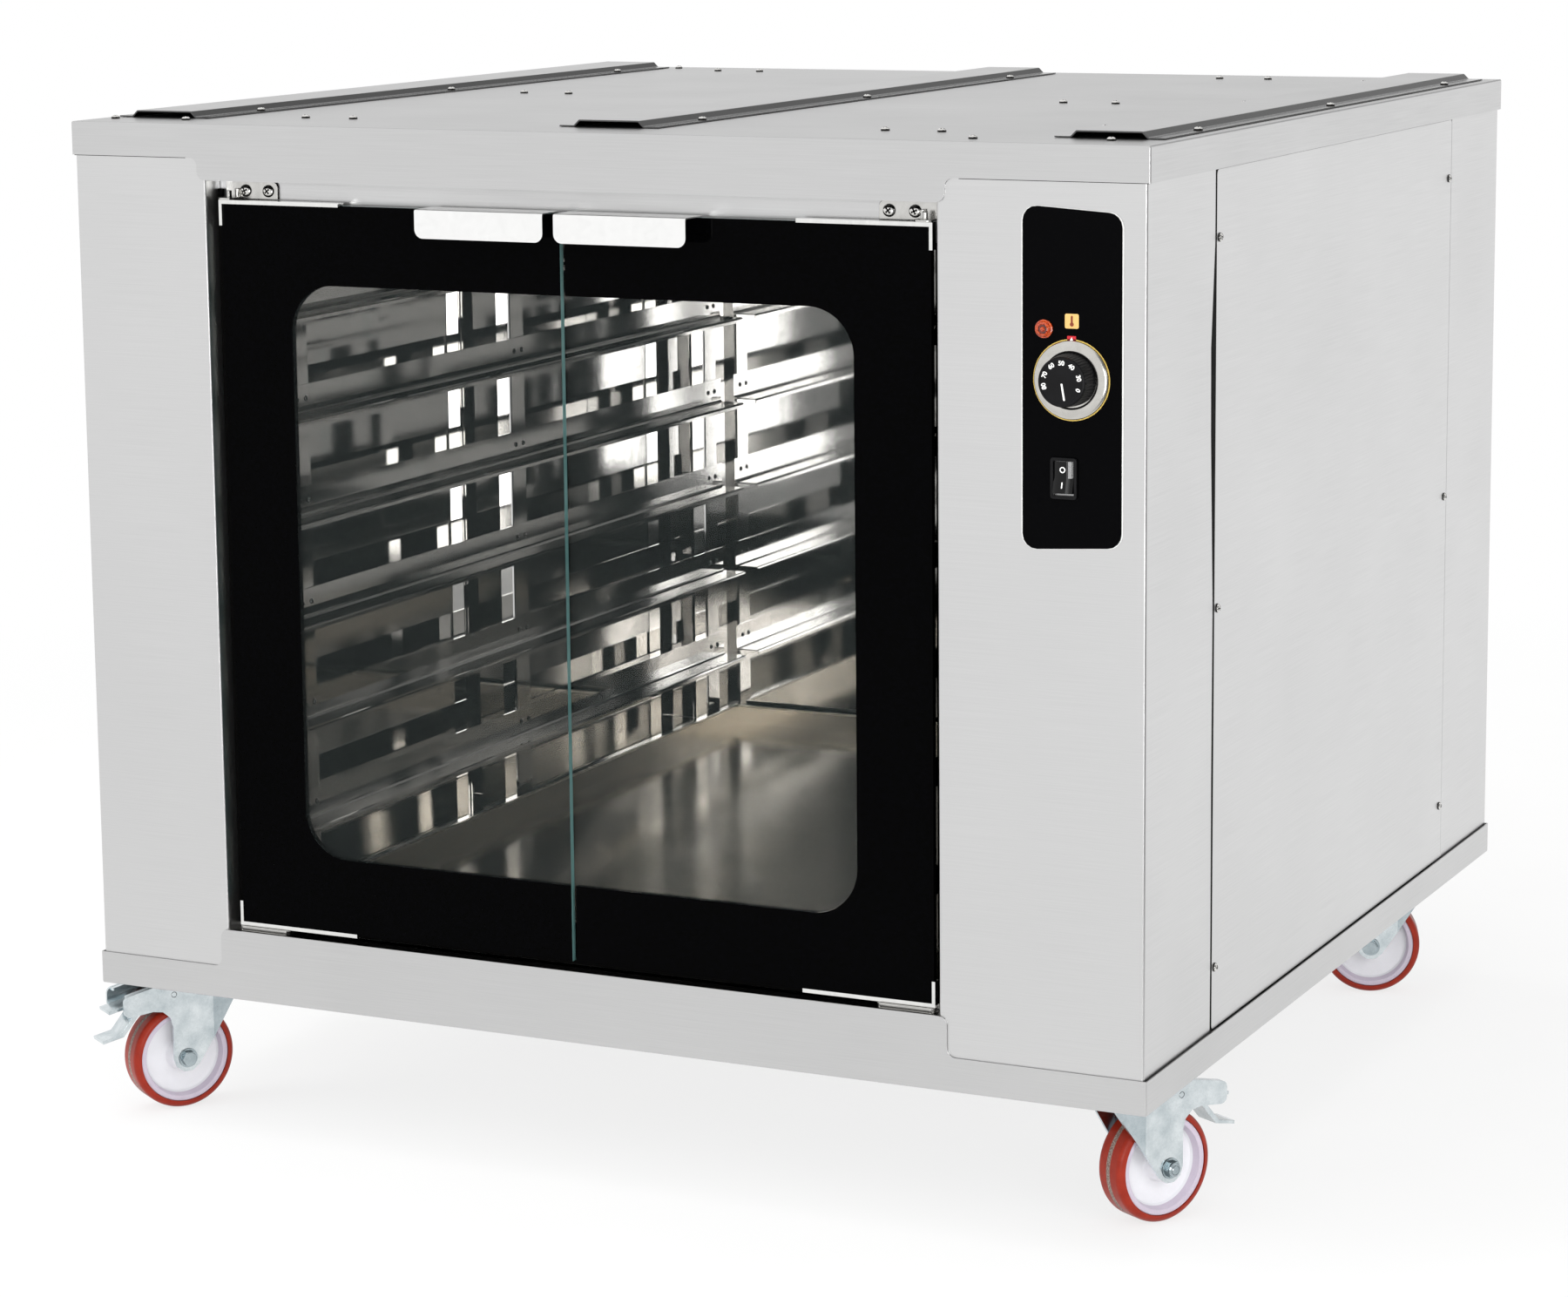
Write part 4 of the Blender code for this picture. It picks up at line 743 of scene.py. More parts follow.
class Blank:
    """A mesh in the making, with the maker's operations that the pieces share."""

    def __init__(self) -> None:
        """Start empty."""
        self.bm = bmesh.new()

    @classmethod
    def of_node(cls, node: str) -> "Blank":
        """Copy a CAD node, welded and with its flat faces made whole.

        Args:
            node: The node's name.

        Returns:
            The copy.
        """
        blank = cls()
        blank.bm.from_mesh(frame["nodes"][node].data)
        bmesh.ops.remove_doubles(blank.bm, verts=blank.bm.verts, dist=WELD)
        bmesh.ops.dissolve_limit(blank.bm, angle_limit=radians(FLAT_DEGREES), verts=blank.bm.verts,
                                 edges=blank.bm.edges)
        return blank

    def prism(self, outline: Sequence[Pair], depth: float, place: Matrix = PLAN) -> "Blank":
        """Add a straight block that stands on an outline.

        Args:
            outline: Its corners in the place's own plane.
            depth: How far it rises.
            place: Where that plane is.

        Returns:
            This blank.
        """
        return self.loft([[place @ Vector((u, v, rise)) for u, v in outline]
                          for rise in (0.0, depth)])

    def loft(self, sections: Sequence[Sequence[Vector]]) -> "Blank":
        """Add a closed form.

        Args:
            sections: What it passes through, each with the same number of corners.

        Returns:
            This blank.
        """
        rows = [[self.bm.verts.new(spot) for spot in section] for section in sections]
        self.bm.faces.new(rows[0][::-1])
        self.bm.faces.new(rows[-1])
        for low, high in zip(rows, rows[1:]):
            for index in range(len(low)):
                after = (index + 1) % len(low)
                self.bm.faces.new((low[index], low[after], high[after], high[index]))
        return self

    def band(self, outer: Sequence[Pair], inner: Sequence[Pair], depth: float,
             place: Matrix = PLAN) -> "Blank":
        """Add a flat ring.

        Args:
            outer: Its outer outline.
            inner: Its inner outline, with the same number of corners.
            depth: How far it rises.
            place: Where its plane is.

        Returns:
            This blank.
        """
        rows = [[self.bm.verts.new(place @ Vector((u, v, rise))) for u, v in outline]
                for outline, rise in ((outer, 0.0), (outer, depth), (inner, depth), (inner, 0.0))]
        for row, following in zip(rows, rows[1:] + rows[:1]):
            for index in range(len(outer)):
                after = (index + 1) % len(outer)
                self.bm.faces.new((row[index], row[after], following[after], following[index]))
        return self

    def turn(self, profile: Sequence[Pair], place: Matrix = PLAN, steps: int = 48,
             ripple: Optional[Ripple] = None) -> "Blank":
        """Add a turned form.

        Args:
            profile: Radii and heights; it closes on itself unless it starts and ends on the axis.
            place: Where its foot and axis are.
            steps: Facets in the round.
            ripple: Changes a radius, from the radius, the height and the angle.

        Returns:
            This blank.
        """
        rows = []
        for radius, height in profile:
            row = []
            for step in range(steps if radius > 0 else 1):
                angle = 2 * pi * step / steps
                size = ripple(radius, height, angle) if ripple else radius
                spot = Vector((size * cos(angle), size * sin(angle), height))
                row.append(self.bm.verts.new(place @ spot))
            rows.append(row)
        pairs = list(zip(rows, rows[1:]))
        if profile[0][0] > 0:
            pairs.append((rows[-1], rows[0]))
        for upper, lower in pairs:
            for step in range(steps):
                after = (step + 1) % steps
                corners = [upper[step % len(upper)], lower[step % len(lower)],
                           lower[after % len(lower)], upper[after % len(upper)]]
                corners = list(dict.fromkeys(corners))
                if len(corners) > 2:
                    self.bm.faces.new(corners)
        return self

    def screw(self, place: Matrix, radius: float, height: float, steps: int = 16) -> "Blank":
        """Add a pan-head screw with a crossed recess.

        Args:
            place: Where it is seated; it faces the Z axis.
            radius: Its head's radius.
            height: Its head's height.
            steps: Facets in the round.

        Returns:
            This blank.
        """
        quarter = steps // 4
        rows = []
        for share, rise, cut in SCREW_RINGS:
            row = []
            for step in range(steps if share > 0 else 1):
                angle = 2 * pi * step / steps
                lift = height * (rise - (cut if step % quarter == 0 else 0.0))
                spot = Vector((share * radius * cos(angle), share * radius * sin(angle), lift))
                row.append(self.bm.verts.new(place @ spot))
            rows.append(row)
        for upper, lower in zip(rows, rows[1:]):
            for step in range(steps):
                after = (step + 1) % steps
                corners = [upper[step % len(upper)], lower[step], lower[after],
                           upper[after % len(upper)]]
                face = self.bm.faces.new(list(dict.fromkeys(corners)))
                arm = 0 in (step % quarter, after % quarter)
                rim = lower is rows[-1]
                # Index 1 for the middle, the cross's arms and the outer rim: painted shade
                face.material_index = int(rim or upper is rows[0] or (upper is rows[1] and arm))
        self.bm.faces.new(rows[-1][::-1])
        return self

    def figure(self, text: str, size: float, weight: float, depth: float, place: Matrix) -> "Blank":
        """Add a number.

        Args:
            text: Its digits.
            size: Their height.
            weight: How much bolder they are drawn.
            depth: How far they rise.
            place: Where their middle is.

        Returns:
            This blank.
        """
        curve = bpy.data.curves.new("figure", "FONT")
        curve.body = text
        curve.size = size
        curve.align_x = "CENTER"
        curve.align_y = "CENTER"
        curve.extrude = depth / 2
        curve.offset = weight
        holder = bpy.data.objects.new("figure", curve)
        bpy.context.scene.collection.objects.link(holder)
        ready = holder.evaluated_get(bpy.context.evaluated_depsgraph_get())
        mesh = bpy.data.meshes.new_from_object(ready)
        mesh.transform(place @ Matrix.Translation((0.0, 0.0, depth / 2)))
        self.bm.from_mesh(mesh)
        bpy.data.objects.remove(holder, do_unlink=True)
        bpy.data.meshes.remove(mesh)
        return self

    def soften(self, width: float, steps: int = 2, angle: float = 40.0,
               least_area: float = 0.0) -> "Blank":
        """Round the outer edges.

        Args:
            width: How far the rounding reaches from each edge.
            steps: Facets across it.
            angle: Only edges that turn more than this many degrees are rounded.
            least_area: Only edges whose two faces both have this area are rounded.

        Returns:
            This blank.
        """
        chosen = [edge for edge in self.bm.edges
                  if len(edge.link_faces) == 2 and edge.is_convex
                  and edge.calc_face_angle(0.0) > radians(angle)
                  and min(face.calc_area() for face in edge.link_faces) >= least_area]
        bmesh.ops.bevel(self.bm, geom=chosen, offset=width, offset_type="OFFSET", segments=steps,
                        profile=0.5, affect="EDGES", clamp_overlap=True)
        return self

    def mesh(self, name: str, smooth: float) -> bpy.types.Mesh:
        """Turn the faces outwards and store the mesh.

        Args:
            name: The mesh's name.
            smooth: Edges that turn more than this many degrees stay sharp.

        Returns:
            The mesh.
        """
        bmesh.ops.recalc_face_normals(self.bm, faces=self.bm.faces)
        made = bpy.data.meshes.new(name)
        self.bm.to_mesh(made)
        self.bm.free()
        made.shade_smooth()
        made.set_sharp_from_angle(angle=radians(smooth))
        return made


def add_piece(blank: Blank, name: str, body: str, finish: Finish,
              stands_for: Sequence[str] = (), smooth: float = 35.0,
              second: Optional[Finish] = None) -> Piece:
    """Place a finished blank as a named piece of the cabinet.

    Args:
        blank: Its mesh in the making.
        name: The piece's name.
        body: The CAD body it rides on.
        finish: What its surface is.
        stands_for: CAD nodes that it replaces.
        smooth: Edges that turn more than this many degrees stay sharp.
        second: The finish of the faces that the blank marks with index 1.

    Returns:
        The piece.
    """
    mesh = blank.mesh(name, smooth)
    mesh.materials.append(finish.material())
    if second:
        mesh.materials.append(second.material())
    piece = bpy.data.objects.new(name, mesh)
    bpy.context.scene.collection.objects.link(piece)
    piece.modifiers.new("flat_faces_stay_flat", "WEIGHTED_NORMAL").keep_sharp = True
    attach(piece, body)
    if stands_for:
        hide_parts(*stands_for)
    LOG.info("%s rides on %s", name, body)
    return piece


def mark(piece: Piece, test: Callable[[Face], bool]) -> None:
    """Give the faces that pass a test the piece's second finish, and the others its first."""
    for face in piece.data.polygons:
        face.material_index = int(test(face))


def dress(node: str, finish: Finish) -> None:
    """Give a CAD node that keeps its own shape its finish.

    Args:
        node: The node's name.
        finish: What its surface is.
    """
    for holder in frame["nodes"][node].material_slots:
        holder.material = finish.material()
    LOG.info("%s keeps its CAD shape", node)


class Corner(Enum):
    """The four casters, by their place under the cabinet."""

    FRONT_LEFT = "front_left"
    FRONT_RIGHT = "front_right"
    REAR_LEFT = "rear_left"
    REAR_RIGHT = "rear_right"

    @property
    def braked(self) -> bool:
        """Whether this caster has a brake pedal."""
        return self.value.startswith("front")


class Hand(Enum):
    """The two doors, with the way from the hinge to the meeting edge."""

    LEFT = "left"
    RIGHT = "right"

    @property
    def way(self) -> int:
        """The sign of X from the hinge towards the meeting edge."""
        return 1 if self is Hand.LEFT else -1

    def ends(self, low: float, high: float) -> Pair:
        """A span's end on the hinge side and its other end."""
        return (low, high) if self is Hand.LEFT else (high, low)


@dataclass
class Shell:
    """The outer sheets, the oven rails, and the screws that hold them."""

    sheet: float = 1.2 * MM
    bend: float = 2.0 * MM
    flange: float = 22.0 * MM
    joggle: float = 2.0 * MM
    step: float = 1.5 * MM
    jamb_end: float = -0.4747
    fold: float = 1.6 * MM
    fold_area: float = 0.01
    screw_radius: float = 4.0 * MM
    screw_height: float = 3.1 * MM
    screw_turn: float = 0.7
    rails: tuple[str, ...] = ("oven_rail_left", "oven_rail_middle", "oven_rail_right")
    rail_flange: float = 41.0 * MM
    rail_crown: float = 29.0 * MM
    rail_shoulder: float = 34.0 * MM
    rail_bend: float = 2.2 * MM
    rail_screw_rows: tuple[float, ...] = (-0.3366, 0.0134, 0.3694)
    rack_screw_pairs: tuple[Pair, ...] = ((-0.3317, -0.2817), (0.2423, 0.2943))
    rack_screw_rows: tuple[float, ...] = (-0.3966, 0.0084, 0.4394)
    lone_screws: tuple[Pair, ...] = ((-0.4987, -0.4536), (-0.4227, -0.4536), (0.4683, -0.4536),
                                     (0.3523, -0.4666), (-0.3987, 0.4774))
    panel_screw_heights: tuple[float, ...] = (0.8425, 0.5280, 0.2147)
    panel_screw_inset: float = 7.0 * MM
    panel_screw_turns: Pair = (5.0, 9.0)
    panel_corner: float = 4.0 * MM
    panel_proud: float = 0.3 * MM
    gap_width: float = 11.5 * MM
    gap_shape: tuple[Pair, ...] = ((0.0, 0.3), (0.08, 0.25), (0.3, 0.35), (0.5, 0.3),
                                   (0.7, 0.9), (0.8, 1.0), (0.92, 0.25), (1.0, 0.2))
    gap_tuck: float = 8.0 * MM
    gap_sink: float = 0.9 * MM
    gap_depth: float = 1.0 * MM
    top_gap: Pair = (2.4 * MM, 0.2 * MM)
    top_gap_lead: float = 1.0 * MM
    top_gap_tuck: float = 5.0 * MM
    lap_height: float = 0.900
    lap_line: float = 0.6 * MM
    lap_tuck: float = 2.0 * MM
    lap_stop: float = 20.0 * MM
    lap_sink: float = 0.6 * MM
    lap_depth: float = 1.0 * MM
    top_facing: float = 0.9
    crown_facing: float = 0.95
    gland_radius: float = 11.0 * MM
    gland_bore: float = 3.5 * MM
    gland_waist: float = 0.96
    gland_ribs: int = 12
    gland_rib_depth: float = 0.05
    gland_cap: float = 6.0 * MM

    def build(self) -> None:
        """Dress the sheets and add the fasteners."""
        self.columns()
        dress("rear_panel", SATIN_STEEL)
        for node in ("top_cover", "base_tray"):
            self.folded(node)
        for node in self.rails:
            self.rail(node)
        self.cover_seam()
        self.access_panel()
        self.top_screws()
        self.panel_screws()
        self.gland()

    def columns(self) -> None:
        """The two side sheets that fold round the front to make the columns, with round bends."""
        low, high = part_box("control_column")
        lap = high.y - self.flange
        right = [(low.x, self.jamb_end), (low.x, low.y), (high.x, low.y),
                 (high.x, lap - self.joggle), (high.x - self.step, lap),
                 (high.x - self.step, high.y)]
        self.bent("control_column", right, low.z, high.z)
        low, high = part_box("left_side_panel")
        left = [(low.x + self.flange, high.y), (low.x, high.y), (low.x, low.y), (high.x, low.y),
                (high.x, self.jamb_end)]
        self.bent("left_side_panel", left, low.z, high.z)

    def bent(self, node: str, line: Sequence[Pair], low: float, high: float) -> None:
        """Replace an upright folded sheet by one whose bends are round.

        Args:
            node: The CAD node it stands for.
            line: Its outer face in plan, with the metal to the line's left.
            low: The height of its lower edge.
            high: The height of its upper edge.
        """
        section = ribbon(rounded(line, self.bend, closed=False, steps=6), self.sheet)
        blank = Blank().prism(section, high - low, placed(0.0, 0.0, low))
        add_piece(blank, f"{node}_bent", "cabinet", SATIN_STEEL, [node])

    def folded(self, node: str) -> None:
        """Replace a folded CAD sheet by a copy with round outer folds, with painted shade on its
        upper face.

        Args:
            node: The CAD node it stands for.
        """
        blank = Blank.of_node(node).soften(self.fold, 3, SQUARE_DEGREES, self.fold_area)
        piece = add_piece(blank, f"{node}_folded", "cabinet", COVER_STEEL, [node],
                          smooth=40.0, second=TOP_SHADE_STEEL)
        # Faces that point up get the darker top finish: painted shade
        mark(piece, lambda face: face.normal.z > self.top_facing)

    def rail(self, node: str) -> None:
        """Replace a hat-section rail by one with round bends, its crown ground like the cover and
        with the cover top's painted shade, its flanks and flanges drawn dark as a painted
        reflection.

        Args:
            node: The CAD node it stands for.
        """
        low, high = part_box(node)
        middle = (low.x + high.x) / 2
        toe = (high.x - low.x) / 2
        foot = low.z + self.sheet
        half = [(toe, foot), (self.rail_shoulder, foot), (self.rail_crown, high.z)]
        line = ([(middle + reach, z) for reach, z in half]
                + [(middle - reach, z) for reach, z in reversed(half)])
        section = ribbon(rounded(line, self.rail_bend, closed=False, steps=4), self.sheet)
        blank = Blank().prism(section, high.y - low.y, placed(0.0, high.y, 0.0, FRONT))
        piece = add_piece(blank, f"{node}_rolled", "cabinet", TOP_SHADE_STEEL, [node],
                          second=RAIL_DARK_REFLECTION)
        under = high.z - self.sheet
        # Flanks, flanges and undersides get the dark finish: painted reflection
        mark(piece, lambda face: face.normal.z < self.crown_facing or face.center.z < under)

    def cover_seam(self) -> None:
        """A black strip of painted shadow where the cover's edge laps over the two columns."""
        low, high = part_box("top_cover")
        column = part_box("left_side_panel")[1]
        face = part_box("control_column")[0]
        blank = Blank()
        for start, end in ((low.x + self.lap_tuck, column.x - self.lap_stop),
                           (face.x + self.lap_stop, high.x - self.lap_tuck)):
            strip = rectangle((start, self.lap_height - self.lap_line),
                              (end, self.lap_height + self.lap_depth))
            blank.prism(strip, self.lap_depth, placed(0.0, face.y + self.lap_sink, 0.0, FRONT))
        add_piece(blank, "cover_lap_painted_shadow", "cabinet", PAINTED_SHADOW_BLACK)

    def access_panel(self) -> None:
        """The side panel with rounded corners, and a black strip of painted shadow in the gap that
        its front edge leaves.
        """
        low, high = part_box("right_access_panel")
        outline = rounded(rectangle((low.y, low.z), (high.y, high.z)), self.panel_corner, steps=6)
        blank = Blank().prism(outline, high.x - low.x + self.panel_proud,
                              placed(low.x, 0.0, 0.0, SIDE))
        blank.soften(self.panel_proud, 2, SQUARE_DEGREES)
        add_piece(blank, "access_panel_sheet", "cabinet", SATIN_STEEL,
                  ["right_access_panel"])
        # Painted shadow: a black strip behind the front edge, as wide as the shadow in the bowed
        # gap, and a tapering one along the top edge
        edge = [(low.y - self.gap_width * share, low.z + (high.z - low.z) * rise)
                for rise, share in self.gap_shape]
        inner = low.y + self.gap_tuck
        behind = placed(high.x - self.gap_sink, 0.0, 0.0, SIDE)
        seam = Blank().prism([(inner, low.z)] + edge + [(inner, high.z)], self.gap_depth, behind)
        third = low.y + (high.y - low.y) / 3
        lead, under = low.y - self.top_gap_lead, high.z - self.top_gap_tuck
        over = [(lead, under), (third, under), (third, high.z + self.top_gap[1]),
                (lead, high.z + self.top_gap[0])]
        seam.prism(over, self.gap_sink, behind)
        add_piece(seam, "access_panel_painted_shadow", "cabinet", PAINTED_SHADOW_BLACK)

    def top_screws(self) -> None:
        """Screws on the top cover and on the rails' flanges."""
        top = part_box("top_cover")[1].z
        spots = [(x, y, top) for pair in self.rack_screw_pairs for x in pair
                 for y in self.rack_screw_rows]
        spots += [(x, y, top) for x, y in self.lone_screws]
        for node in self.rails:
            low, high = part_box(node)
            middle = (low.x + high.x) / 2
            flange = low.z + self.sheet
            spots += [(middle + side * self.rail_flange, y, flange)
                      for side in (-1, 1) for y in self.rail_screw_rows]
        blank = Blank()
        for index, spot in enumerate(spots):
            turn = Matrix.Rotation(self.screw_turn * index, 4, "Z")
            blank.screw(placed(*spot, turn), self.screw_radius, self.screw_height)
        add_piece(blank, "top_screws", "cabinet", CHROME, second=PAINTED_SHADE_STEEL)

    def panel_screws(self) -> None:
        """Screws down both edges of the access panel."""
        low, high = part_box("right_access_panel")
        out = Matrix.Rotation(pi / 2, 4, "Y")
        blank = Blank()
        for y in (low.y + self.panel_screw_inset, high.y - self.panel_screw_inset):
            for z in self.panel_screw_heights:
                angle = self.panel_screw_turns[1] * z + self.panel_screw_turns[0] * y
                place = placed(high.x, y, z, out) @ Matrix.Rotation(angle, 4, "Z")
                blank.screw(place, self.screw_radius, self.screw_height)
        add_piece(blank, "access_panel_screws", "cabinet", CHROME, second=PAINTED_SHADE_STEEL)

    def gland(self) -> None:
        """The cable gland with its gripped cap."""
        low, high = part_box("cable_gland")
        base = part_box("rear_panel")[1].y
        out = placed((low.x + high.x) / 2, base, (low.z + high.z) / 2,
                     Matrix.Rotation(-pi / 2, 4, "X"))
        size, bore = self.gland_radius, self.gland_bore
        reach = high.y - base
        profile = [(bore, reach), (7.2 * MM, reach), (9.2 * MM, reach - 2.2 * MM),
                   (size, reach - 6.0 * MM), (size, 6.5 * MM),
                   (size * self.gland_waist, self.gland_cap), (size, 5.5 * MM), (size, 0.3 * MM),
                   (bore, 0.3 * MM)]

        def grip(radius: float, height: float, angle: float) -> float:
            """Ribs round the cap."""
            sunk = radius == size and height > self.gland_cap and cos(self.gland_ribs * angle) > 0
            return radius * (1.0 - self.gland_rib_depth) if sunk else radius

        add_piece(Blank().turn(profile, out, 72, grip), "cable_gland_cap", "cabinet", BLACK_PLASTIC,
                  ["cable_gland"])


@dataclass
class Chamber:
    """The bright liner, the tray racks with their screws, the water pan and the heater."""

    screw_radius: float = 2.6 * MM
    screw_height: float = 1.4 * MM
    screw_spread: float = 7.5 * MM
    screw_rise: float = 13.0 * MM
    screw_reach: float = 28.0 * MM
    hem_proud: float = 0.8 * MM
    hem_width: float = 2.6 * MM
    hem_rise: float = 1.8 * MM
    hem_corner: float = 4.0 * MM
    hem_round: float = 0.7 * MM
    upright_rows: tuple[float, ...] = (-0.3966, 0.0084, 0.4394)
    lowest_ledge: float = 0.282
    pitch: float = 94.5 * MM
    levels: int = 6

    def build(self) -> None:
        """Dress the chamber and add the racks' screws."""
        for node in ("chamber_left_wall", "chamber_right_wall", "chamber_floor"):
            dress(node, LINER_STEEL)
        dress("chamber_rear_wall", REAR_STEEL)
        dress("chamber_ceiling", SATIN_STEEL)
        dress("water_pan", PAN_STEEL)
        self.pan_hem()
        dress("heater_element", HEATER_SHEATH)
        dress("thermostat_body", BLACK_PLASTIC)
        for hand in Hand:
            dress(f"{hand.value}_tray_rack", RACK_STEEL)
            self.rack_screws(hand)

    def pan_hem(self) -> None:
        """The rolled hem round the water pan's rim."""
        low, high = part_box("water_pan")
        proud, width = self.hem_proud, self.hem_width
        outer = rectangle((low.x - proud, low.y - proud), (high.x + proud, high.y + proud))
        inner = rectangle((low.x + width, low.y + width), (high.x - width, high.y - width))
        hem = Blank().band(rounded(outer, self.hem_corner), rounded(inner, self.hem_corner),
                           self.hem_rise, placed(0.0, 0.0, high.z + PROUD))
        hem.soften(self.hem_round, 3, SQUARE_DEGREES)
        add_piece(hem, "water_pan_hem", "cabinet", HEM_STEEL)

    def rack_screws(self, hand: Hand) -> None:
        """Two screws at each upright through every runner.

        Args:
            hand: The side of the rack.
        """
        low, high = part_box(f"{hand.value}_tray_rack")
        face = hand.ends(low.x, high.x)[1] - hand.way * self.screw_reach
        out = Matrix.Rotation(hand.way * pi / 2, 4, "Y")
        blank = Blank()
        for level in range(self.levels):
            z = self.lowest_ledge + level * self.pitch + self.screw_rise
            for row in self.upright_rows:
                for side in (-1, 1):
                    place = placed(face, row + side * self.screw_spread, z, out)
                    blank.screw(place, self.screw_radius, self.screw_height, 12)
        add_piece(blank, f"{hand.value}_rack_screws", "cabinet", CHROME,
                  second=PAINTED_SHADE_STEEL)


@dataclass
class Door:
    """One glass door: the pane with its black print and clear window, the handle and the hinges."""

    hand: Hand
    arris: float = 0.8 * MM
    edge_facing: float = 0.9
    window_low: Pair = (-0.2947, 0.2690)
    window_high: Pair = (0.2533, 0.7890)
    window_corner: float = 42.0 * MM
    let_in: float = 0.1 * MM
    jamb_gap: float = 9.4 * MM
    shadow_front: float = -0.4788
    shadow_back: float = -0.4748
    shadow_width: float = 4.5 * MM
    shadow_round: float = 0.6 * MM
    shadow_past: Pair = (3.0 * MM, 11.0 * MM)
    sill_depth: float = 3.0 * MM
    sill_past: Pair = (5.0 * MM, 6.0 * MM)
    sill_over: float = 2.2 * MM
    hinge_room: float = 16.0 * MM
    handle_sheet: float = 1.2 * MM
    handle_bend: float = 2.4 * MM
    handle_corner: float = 8.0 * MM
    handle_clip: float = 18.0 * MM
    screw_radius: float = 5.6 * MM
    screw_height: float = 3.0 * MM
    screw_insets: Pair = (9.5 * MM, 33.0 * MM)
    screw_sink: float = 2.0 * MM
    screw_lift: float = 0.5 * MM
    screw_turn: float = 30.0
    post_place: Triple = (4.6 * MM, 6.0 * MM, 2.0 * MM)
    plate_edge: float = 0.5 * MM
    plate_facing: float = 0.4

    @property
    def body(self) -> str:
        """The CAD body of this door."""
        return f"{self.hand.value}_door"

    @property
    def window_side(self) -> float:
        """Where the clear window's edge on the hinge side is."""
        return self.hand.ends(self.window_low[0], self.window_high[0])[0]

    def build(self) -> None:
        """Make the door's pieces."""
        self.printed_pane()
        self.clear_window()
        self.shadow_strips()
        self.handle()
        for end in ("top", "bottom"):
            dress(f"{self.body}_{end}_shoe", MIRROR_STEEL)
            self.hinge_plate(f"hinge_bracket_{end}_{self.hand.value}")
        self.hinge_screws()

    def printed_outline(self) -> list[Pair]:
        """Draw the printed part, open at the clear window.

        Returns:
            Its outline, with the window's corners rounded.
        """
        low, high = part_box(f"{self.body}_glass")
        hinge, meeting = self.hand.ends(low.x, high.x)
        side = self.window_side
        bottom, top = self.window_low[1], self.window_high[1]
        outline = [(hinge, low.z), (meeting, low.z), (meeting, bottom), (side, bottom), (side, top),
                   (meeting, top), (meeting, high.z), (hinge, high.z)]
        return rounded(outline, [0, 0, 0, self.window_corner, self.window_corner, 0, 0, 0],
                       steps=14)

    def mark_edges(self, piece: Piece, outside: Sequence[float]) -> None:
        """Give the pane's ground outer edges their own finish.

        Args:
            piece: The pane or its window.
            outside: The places of its upright outer edges.
        """
        low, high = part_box(f"{self.body}_glass")
        piece.data.materials.append(GLASS_EDGE.material())

        def ground(face: Face) -> bool:
            """Whether a face is on an outer edge."""
            across = [abs(face.center.x - place) for place in outside]
            near = min(across + [abs(face.center.z - low.z), abs(face.center.z - high.z)])
            return abs(face.normal.y) < self.edge_facing and near < 2 * self.arris

        mark(piece, ground)

    def printed_pane(self) -> None:
        """The pane with its black print, cut out at the window, and with ground edges."""
        low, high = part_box(f"{self.body}_glass")
        blank = Blank().prism(self.printed_outline(), high.y - low.y,
                              placed(0.0, high.y, 0.0, FRONT))
        blank.soften(self.arris / 2, 2, SQUARE_DEGREES)
        piece = add_piece(blank, f"{self.body}_printed_pane", self.body, FRIT,
                          [f"{self.body}_glass"])
        # The right door's hinge edge keeps the black print: painted shade for the dark jamb gap
        self.mark_edges(piece, (low.x, high.x) if self.hand is Hand.LEFT else (low.x,))

    def clear_window(self) -> None:
        """The clear part of the pane, a hair thinner than the print and let into it."""
        low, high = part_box(f"{self.body}_glass")
        meeting = self.hand.ends(low.x, high.x)[1]
        side = self.window_side - self.hand.way * self.let_in
        bottom, top = self.window_low[1] - self.let_in, self.window_high[1] + self.let_in
        radii = [0, self.window_corner, self.window_corner, 0]
        outline = rounded([(meeting, bottom), (side, bottom), (side, top), (meeting, top)], radii,
                          steps=14)
        blank = Blank().prism(outline, high.y - low.y - 2 * self.let_in,
                              placed(0.0, high.y - self.let_in, 0.0, FRONT))
        piece = add_piece(blank, f"{self.body}_clear_window", self.body, DOOR_GLASS)
        if self.hand is Hand.LEFT:
            self.mark_edges(piece, (meeting,))

    def shadow_strips(self) -> None:
        """Black strips of painted shadow in the jamb beside the pane's hinge edge and along the
        sill.
        """
        low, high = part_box(f"{self.body}_glass")
        edge, meeting = self.hand.ends(low.x, high.x)
        way = self.hand.way
        jamb = edge - way * self.jamb_gap
        sides = sorted((jamb, jamb + way * self.shadow_width))
        foot = rectangle((sides[0], self.shadow_front), (sides[1], self.shadow_back))
        length = high.z - low.z + sum(self.shadow_past)
        blank = Blank().prism(rounded(foot, self.shadow_round, steps=4), length,
                              placed(0.0, 0.0, low.z - self.shadow_past[0]))
        ends = sorted((edge + way * self.hinge_room, meeting + way * self.sill_over))
        sill = rectangle((self.shadow_back - self.sill_depth, low.z - self.sill_past[0]),
                         (self.shadow_back, low.z + self.sill_past[1]))
        blank.prism(rounded(sill, self.shadow_round, steps=4), ends[1] - ends[0],
                    placed(ends[0], 0.0, 0.0, SIDE))
        add_piece(blank, f"{self.hand.value}_door_painted_shadow", "cabinet", PAINTED_SHADOW_BLACK)

